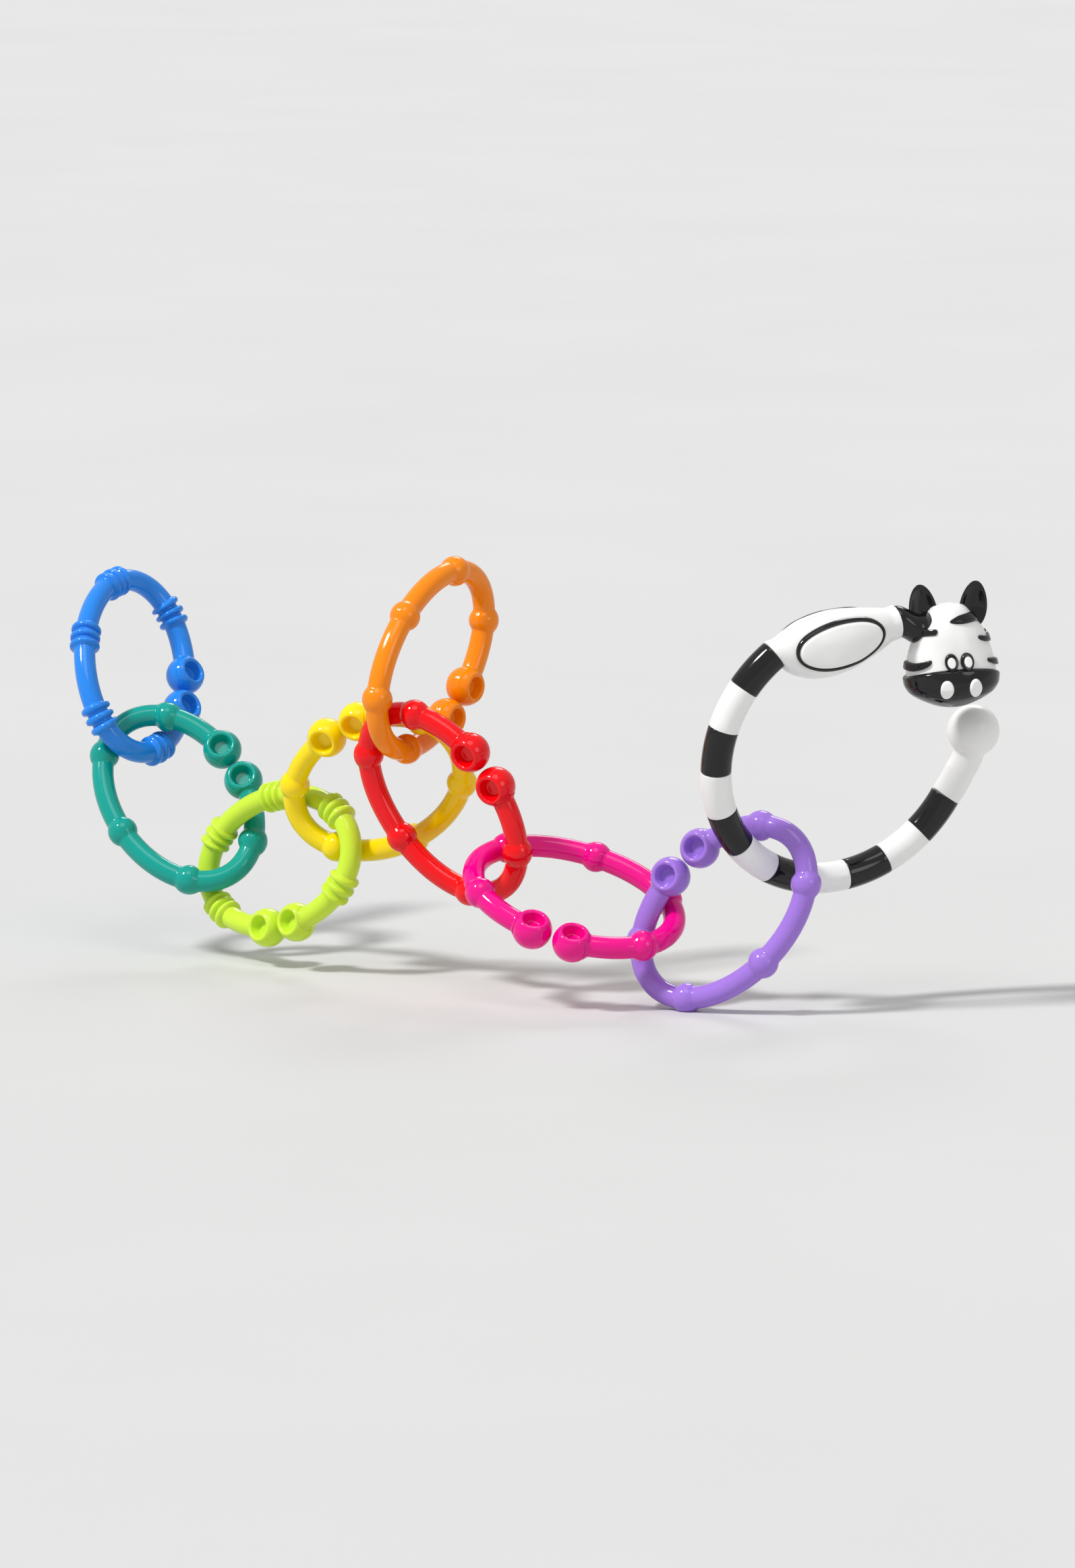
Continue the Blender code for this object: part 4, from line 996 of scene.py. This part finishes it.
def ear_mesh(name, side):
    """A pointed oval leaf, dished in front and domed behind."""
    front_shares = np.linspace(0, 1, EAR_FRONT_RINGS)
    back_shares = np.linspace(EAR_BACK_EDGE_SHARE, 0, EAR_BACK_RINGS)
    rows = []
    for share, face in [(share, 1) for share in front_shares] + [(share, -1) for share in back_shares]:
        ring = math.sin(math.pi / 2 * share)
        dome = EAR_THICKNESS / 2 * math.sqrt(max(1 - ring**2, 0))
        depth = -dome if face < 0 else dome - 2 * EAR_DISH * (1 - ring**2)
        row = []
        for step in range(EAR_COLUMNS):
            turn = 2 * math.pi * step / EAR_COLUMNS
            narrow = 1 - EAR_NARROWING * ring * math.cos(turn)
            upward = EAR_HEIGHT / 2 * ring * math.cos(turn)
            aside = EAR_WIDTH / 2 * ring * math.sin(turn) * narrow
            row.append(Vector((depth, aside, upward)))
        rows.append(row)
    mesh = moulding_mesh(name + "_moulding", [grid(rows)])
    lean = Matrix.Rotation(math.radians(-EAR_LEAN * side), 4, "X")
    place = Vector((EAR_BACK_SHARE * HEAD_DEPTH / 2, side * EAR_SPREAD, EAR_PLACE_SHARE * HEAD_HEIGHT / 2))
    mesh.transform(Matrix.Translation(place) @ lean)
    return mesh


def neck_mesh():
    """The neck, from inside the sleeve round its bend into the side of the head."""
    stations = []
    for share in np.linspace(NECK_START_SHARE, 1, NECK_INSIDE_RINGS):
        point, _, across, up = torso_spine(float(share))
        stations.append((point, across, up, NECK_RADIUS))
    head = head_matrix()
    end, ahead, _, up = torso_spine(1)
    mouth = head @ Vector((0, -NECK_DEPTH_IN_HEAD, NECK_RISE))
    axis = (head.to_3x3() @ Vector((0, 1, 0))).normalized()
    collar = end + ahead * BAND_GAP
    for share in np.linspace(0, 1, NECK_COLLAR_RINGS):
        bow = math.pi / 2 * float(share)
        point = collar + ahead * (NECK_COLLAR_ROUND * (1 - math.cos(bow)))
        radius = NECK_OUTER_RADIUS - NECK_COLLAR_ROUND * (1 - math.sin(bow))
        stations.append((point, up.cross(ahead), up, radius if share else NECK_RADIUS))
    bend = (mouth - end).length / 3
    curve = (end, end + ahead * bend, mouth - axis * bend, mouth)
    for step in range(NECK_BEND_FIRST, NECK_BEND_RINGS + 1):
        share = step / NECK_BEND_RINGS
        point, _ = bezier(curve, share)
        forward = ahead.lerp(axis, share).normalized()
        across = up.cross(forward).normalized()
        radius = NECK_OUTER_RADIUS + NECK_SWELL * math.sin(math.pi * share)
        stations.append((point, across, forward.cross(across), radius))
    across, level = stations[-1][1], stations[-1][2]
    stations.append((mouth + axis * (NECK_DEPTH_IN_HEAD / 3), across, level, NECK_OUTER_RADIUS))
    return moulding_mesh("neck_moulding", [tube(stations, RING_SIDES)])


def place_piece(mesh, finish, node, body, world):
    """Puts a moulding where its solid is, in the solid's stead."""
    mesh.transform(world)
    piece = bpy.data.objects.new(mesh.name, mesh)
    bpy.context.scene.collection.objects.link(piece)
    mesh.materials.clear()
    mesh.materials.append(FINISHES[finish])
    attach(piece, body)
    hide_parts(node)


def add_links(matrices):
    """The eight coloured links, from two meshes."""
    ball_link = link_mesh("ball_link", ball_profile)
    ridged_link = link_mesh("ridged_link", ridge_profile)
    for name in LINKS:
        mesh = (ridged_link if name in RIDGED else ball_link).copy()
        mesh.name = name + "_link_moulding"
        place_piece(mesh, name, name + "_link", name, matrices[name])


def add_striped_ring(world):
    """The ring's core, its bands, the body, its badges and the neck."""
    place_piece(striped_ring_mesh(), "white", "striped_ring", "zebra_ring", world)
    for band in range(BAND_COUNT):
        place_piece(band_mesh(band), "black", f"black_band_{band + 1}", "zebra_ring", world)
    for prefix, side in (("front", 1), ("rear", -1)):
        shell = torso_shell_mesh(prefix, side)
        place_piece(shell, "white", f"torso_{prefix}_shell", "zebra_ring", world)
        face, line = badge_meshes(prefix, side)
        place_piece(face, "white", prefix + "_badge", "zebra_ring", world)
        place_piece(line, "black", prefix + "_badge_line", "zebra_ring", world)
    place_piece(neck_mesh(), "black", "neck", "zebra_ring", world)


def add_head(world):
    """The head's shells, the dark cup, the stripes, ears, eyes and nostrils."""
    place_piece(head_shell_mesh("head_face", -1), "white", "head_face", "zebra_head", world)
    place_piece(head_shell_mesh("head_back", 1), "white", "head_back", "zebra_head", world)
    place_piece(muzzle_mesh(), "black", "muzzle", "zebra_head", world)
    for name in STRIPE_PATHS:
        place_piece(stripe_mesh(name), "black", name, "zebra_head", world)
    for name, side in (("left", -1), ("right", 1)):
        place_piece(ear_mesh(name + "_ear", side), "black", name + "_ear", "zebra_head", world)
        half_height, half_width = EYE_WHITE_SHARE * EYE_HEIGHT / 2, EYE_WHITE_SHARE * EYE_WIDTH / 2
        rings = pad_rings(half_height, half_width, EYE_RISE, EYE_EDGE, MUZZLE_RISE)
        oval = face_oval(side * EYE_SPREAD, EYE_PLACE_SHARE, rings)
        eye = moulding_mesh(name + "_eye_moulding", [oval])
        place_piece(eye, "white", name + "_eye", "zebra_head", world)
        half_height, half_width = NOSTRIL_HEIGHT / 2, NOSTRIL_WIDTH / 2
        rings = pad_rings(half_height, half_width, NOSTRIL_RISE, EYE_EDGE, MUZZLE_RISE - SEAT_DEPTH)
        oval = face_oval(side * NOSTRIL_SPREAD, NOSTRIL_PLACE_SHARE, rings)
        nostril = moulding_mesh(name + "_nostril_moulding", [oval])
        place_piece(nostril, "white", name + "_nostril", "zebra_head", world)


def add_stage():
    """A plain pale floor and soft lamps."""
    rim = []
    for reach in FLOOR_REACHES:
        row = []
        for step in range(FLOOR_SIDES):
            turn = 2 * math.pi * step / FLOOR_SIDES
            aside = TOY_MIDDLE[0] + reach * math.cos(turn)
            behind = TOY_MIDDLE[1] + reach * math.sin(turn)
            row.append((aside, behind, FLOOR_HEIGHT))
        rim.append(row)
    points, faces = grid(rim)
    mesh = moulding_mesh("floor", [(points, faces + [list(range(FLOOR_SIDES))])])
    floor = bpy.data.objects.new("floor", mesh)
    bpy.context.scene.collection.objects.link(floor)
    mesh.materials.append(floor_finish())
    floor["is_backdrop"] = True
    for name, (direction, spread, strength) in LAMPS.items():
        add_lamp(name, direction, spread, strength)


def add_lamp(name, direction, spread, strength):
    """A broad soft lamp far off in a direction from the toy."""
    lamp = bpy.data.lights.new(name, "SUN")
    lamp.angle = math.radians(spread)
    lamp.energy = strength
    item = bpy.data.objects.new(name, lamp)
    bpy.context.scene.collection.objects.link(item)
    item.location = Vector(TOY_MIDDLE) + Vector(direction)
    item.rotation_euler = (-Vector(direction)).to_track_quat("-Z", "Y").to_euler()


def add_surround():
    """A pale surround: an even light on the toy, and a paler ground for the camera and for reflections."""
    world = bpy.data.worlds.new("pale_surround")
    bpy.context.scene.world = world
    surround = Finish(world)
    camera_ray = surround.node("ShaderNodeLightPath", output="Is Camera Ray")
    glossy_ray = surround.node("ShaderNodeLightPath", output="Is Glossy Ray")
    clear_ray = surround.node("ShaderNodeLightPath", output="Is Transmission Ray")
    seen = camera_ray.maths("MAXIMUM", glossy_ray.maths("MAXIMUM", clear_ray))
    sky = []
    for colour, strength in (SURROUND_LIGHT, SURROUND_GROUND):
        sky.append(surround.node("ShaderNodeBackground", {}, {"Color": colour, "Strength": strength}))
    mixed = surround.node("ShaderNodeMixShader", {}, {0: seen, 1: sky[0], 2: sky[1]})
    surround.node("ShaderNodeOutputWorld", {}, {"Surface": mixed})


def add_camera():
    """The photograph's viewpoint, closer in on the toy."""
    camera = bpy.data.cameras.new("camera")
    camera.sensor_fit = "HORIZONTAL"
    camera.sensor_width = CAMERA_SENSOR
    camera.lens = CAMERA_LENS
    camera.clip_end = CAMERA_REACH
    item = bpy.data.objects.new("camera", camera)
    bpy.context.scene.collection.objects.link(item)
    item.location = CAMERA_PLACE
    gaze = Vector(TOY_MIDDLE) - Vector(CAMERA_PLACE)
    item.rotation_euler = gaze.to_track_quat("-Z", "Y").to_euler()
    bpy.context.scene.camera = item
    bpy.context.scene.view_settings.view_transform = "Standard"


rings = ring_matrices()
FINISHES = {
    "white": gloss_plastic("white_plastic", "white", roughness=WHITE_ROUGHNESS, glow=WHITE_GLOW),
    "black": gloss_plastic("black_plastic", "black", gloss=BLACK_GLOSS),
}
for link_name in LINKS:
    plane = (rings[link_name].translation, rings[link_name].to_3x3() @ Vector((0, 0, 1)))
    FINISHES[link_name] = gloss_plastic(link_name + "_plastic", link_name, glow=LINK_GLOW, part_plane=plane)
add_links(rings)
add_striped_ring(rings["ring"])
add_head(rings["ring"] @ head_matrix())
add_stage()
add_surround()
add_camera()

bpy.context.view_layer.update()
boxes = {"cad": cad_box, "visual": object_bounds()}
{name: [list(corner) for corner in box] for name, box in boxes.items()}
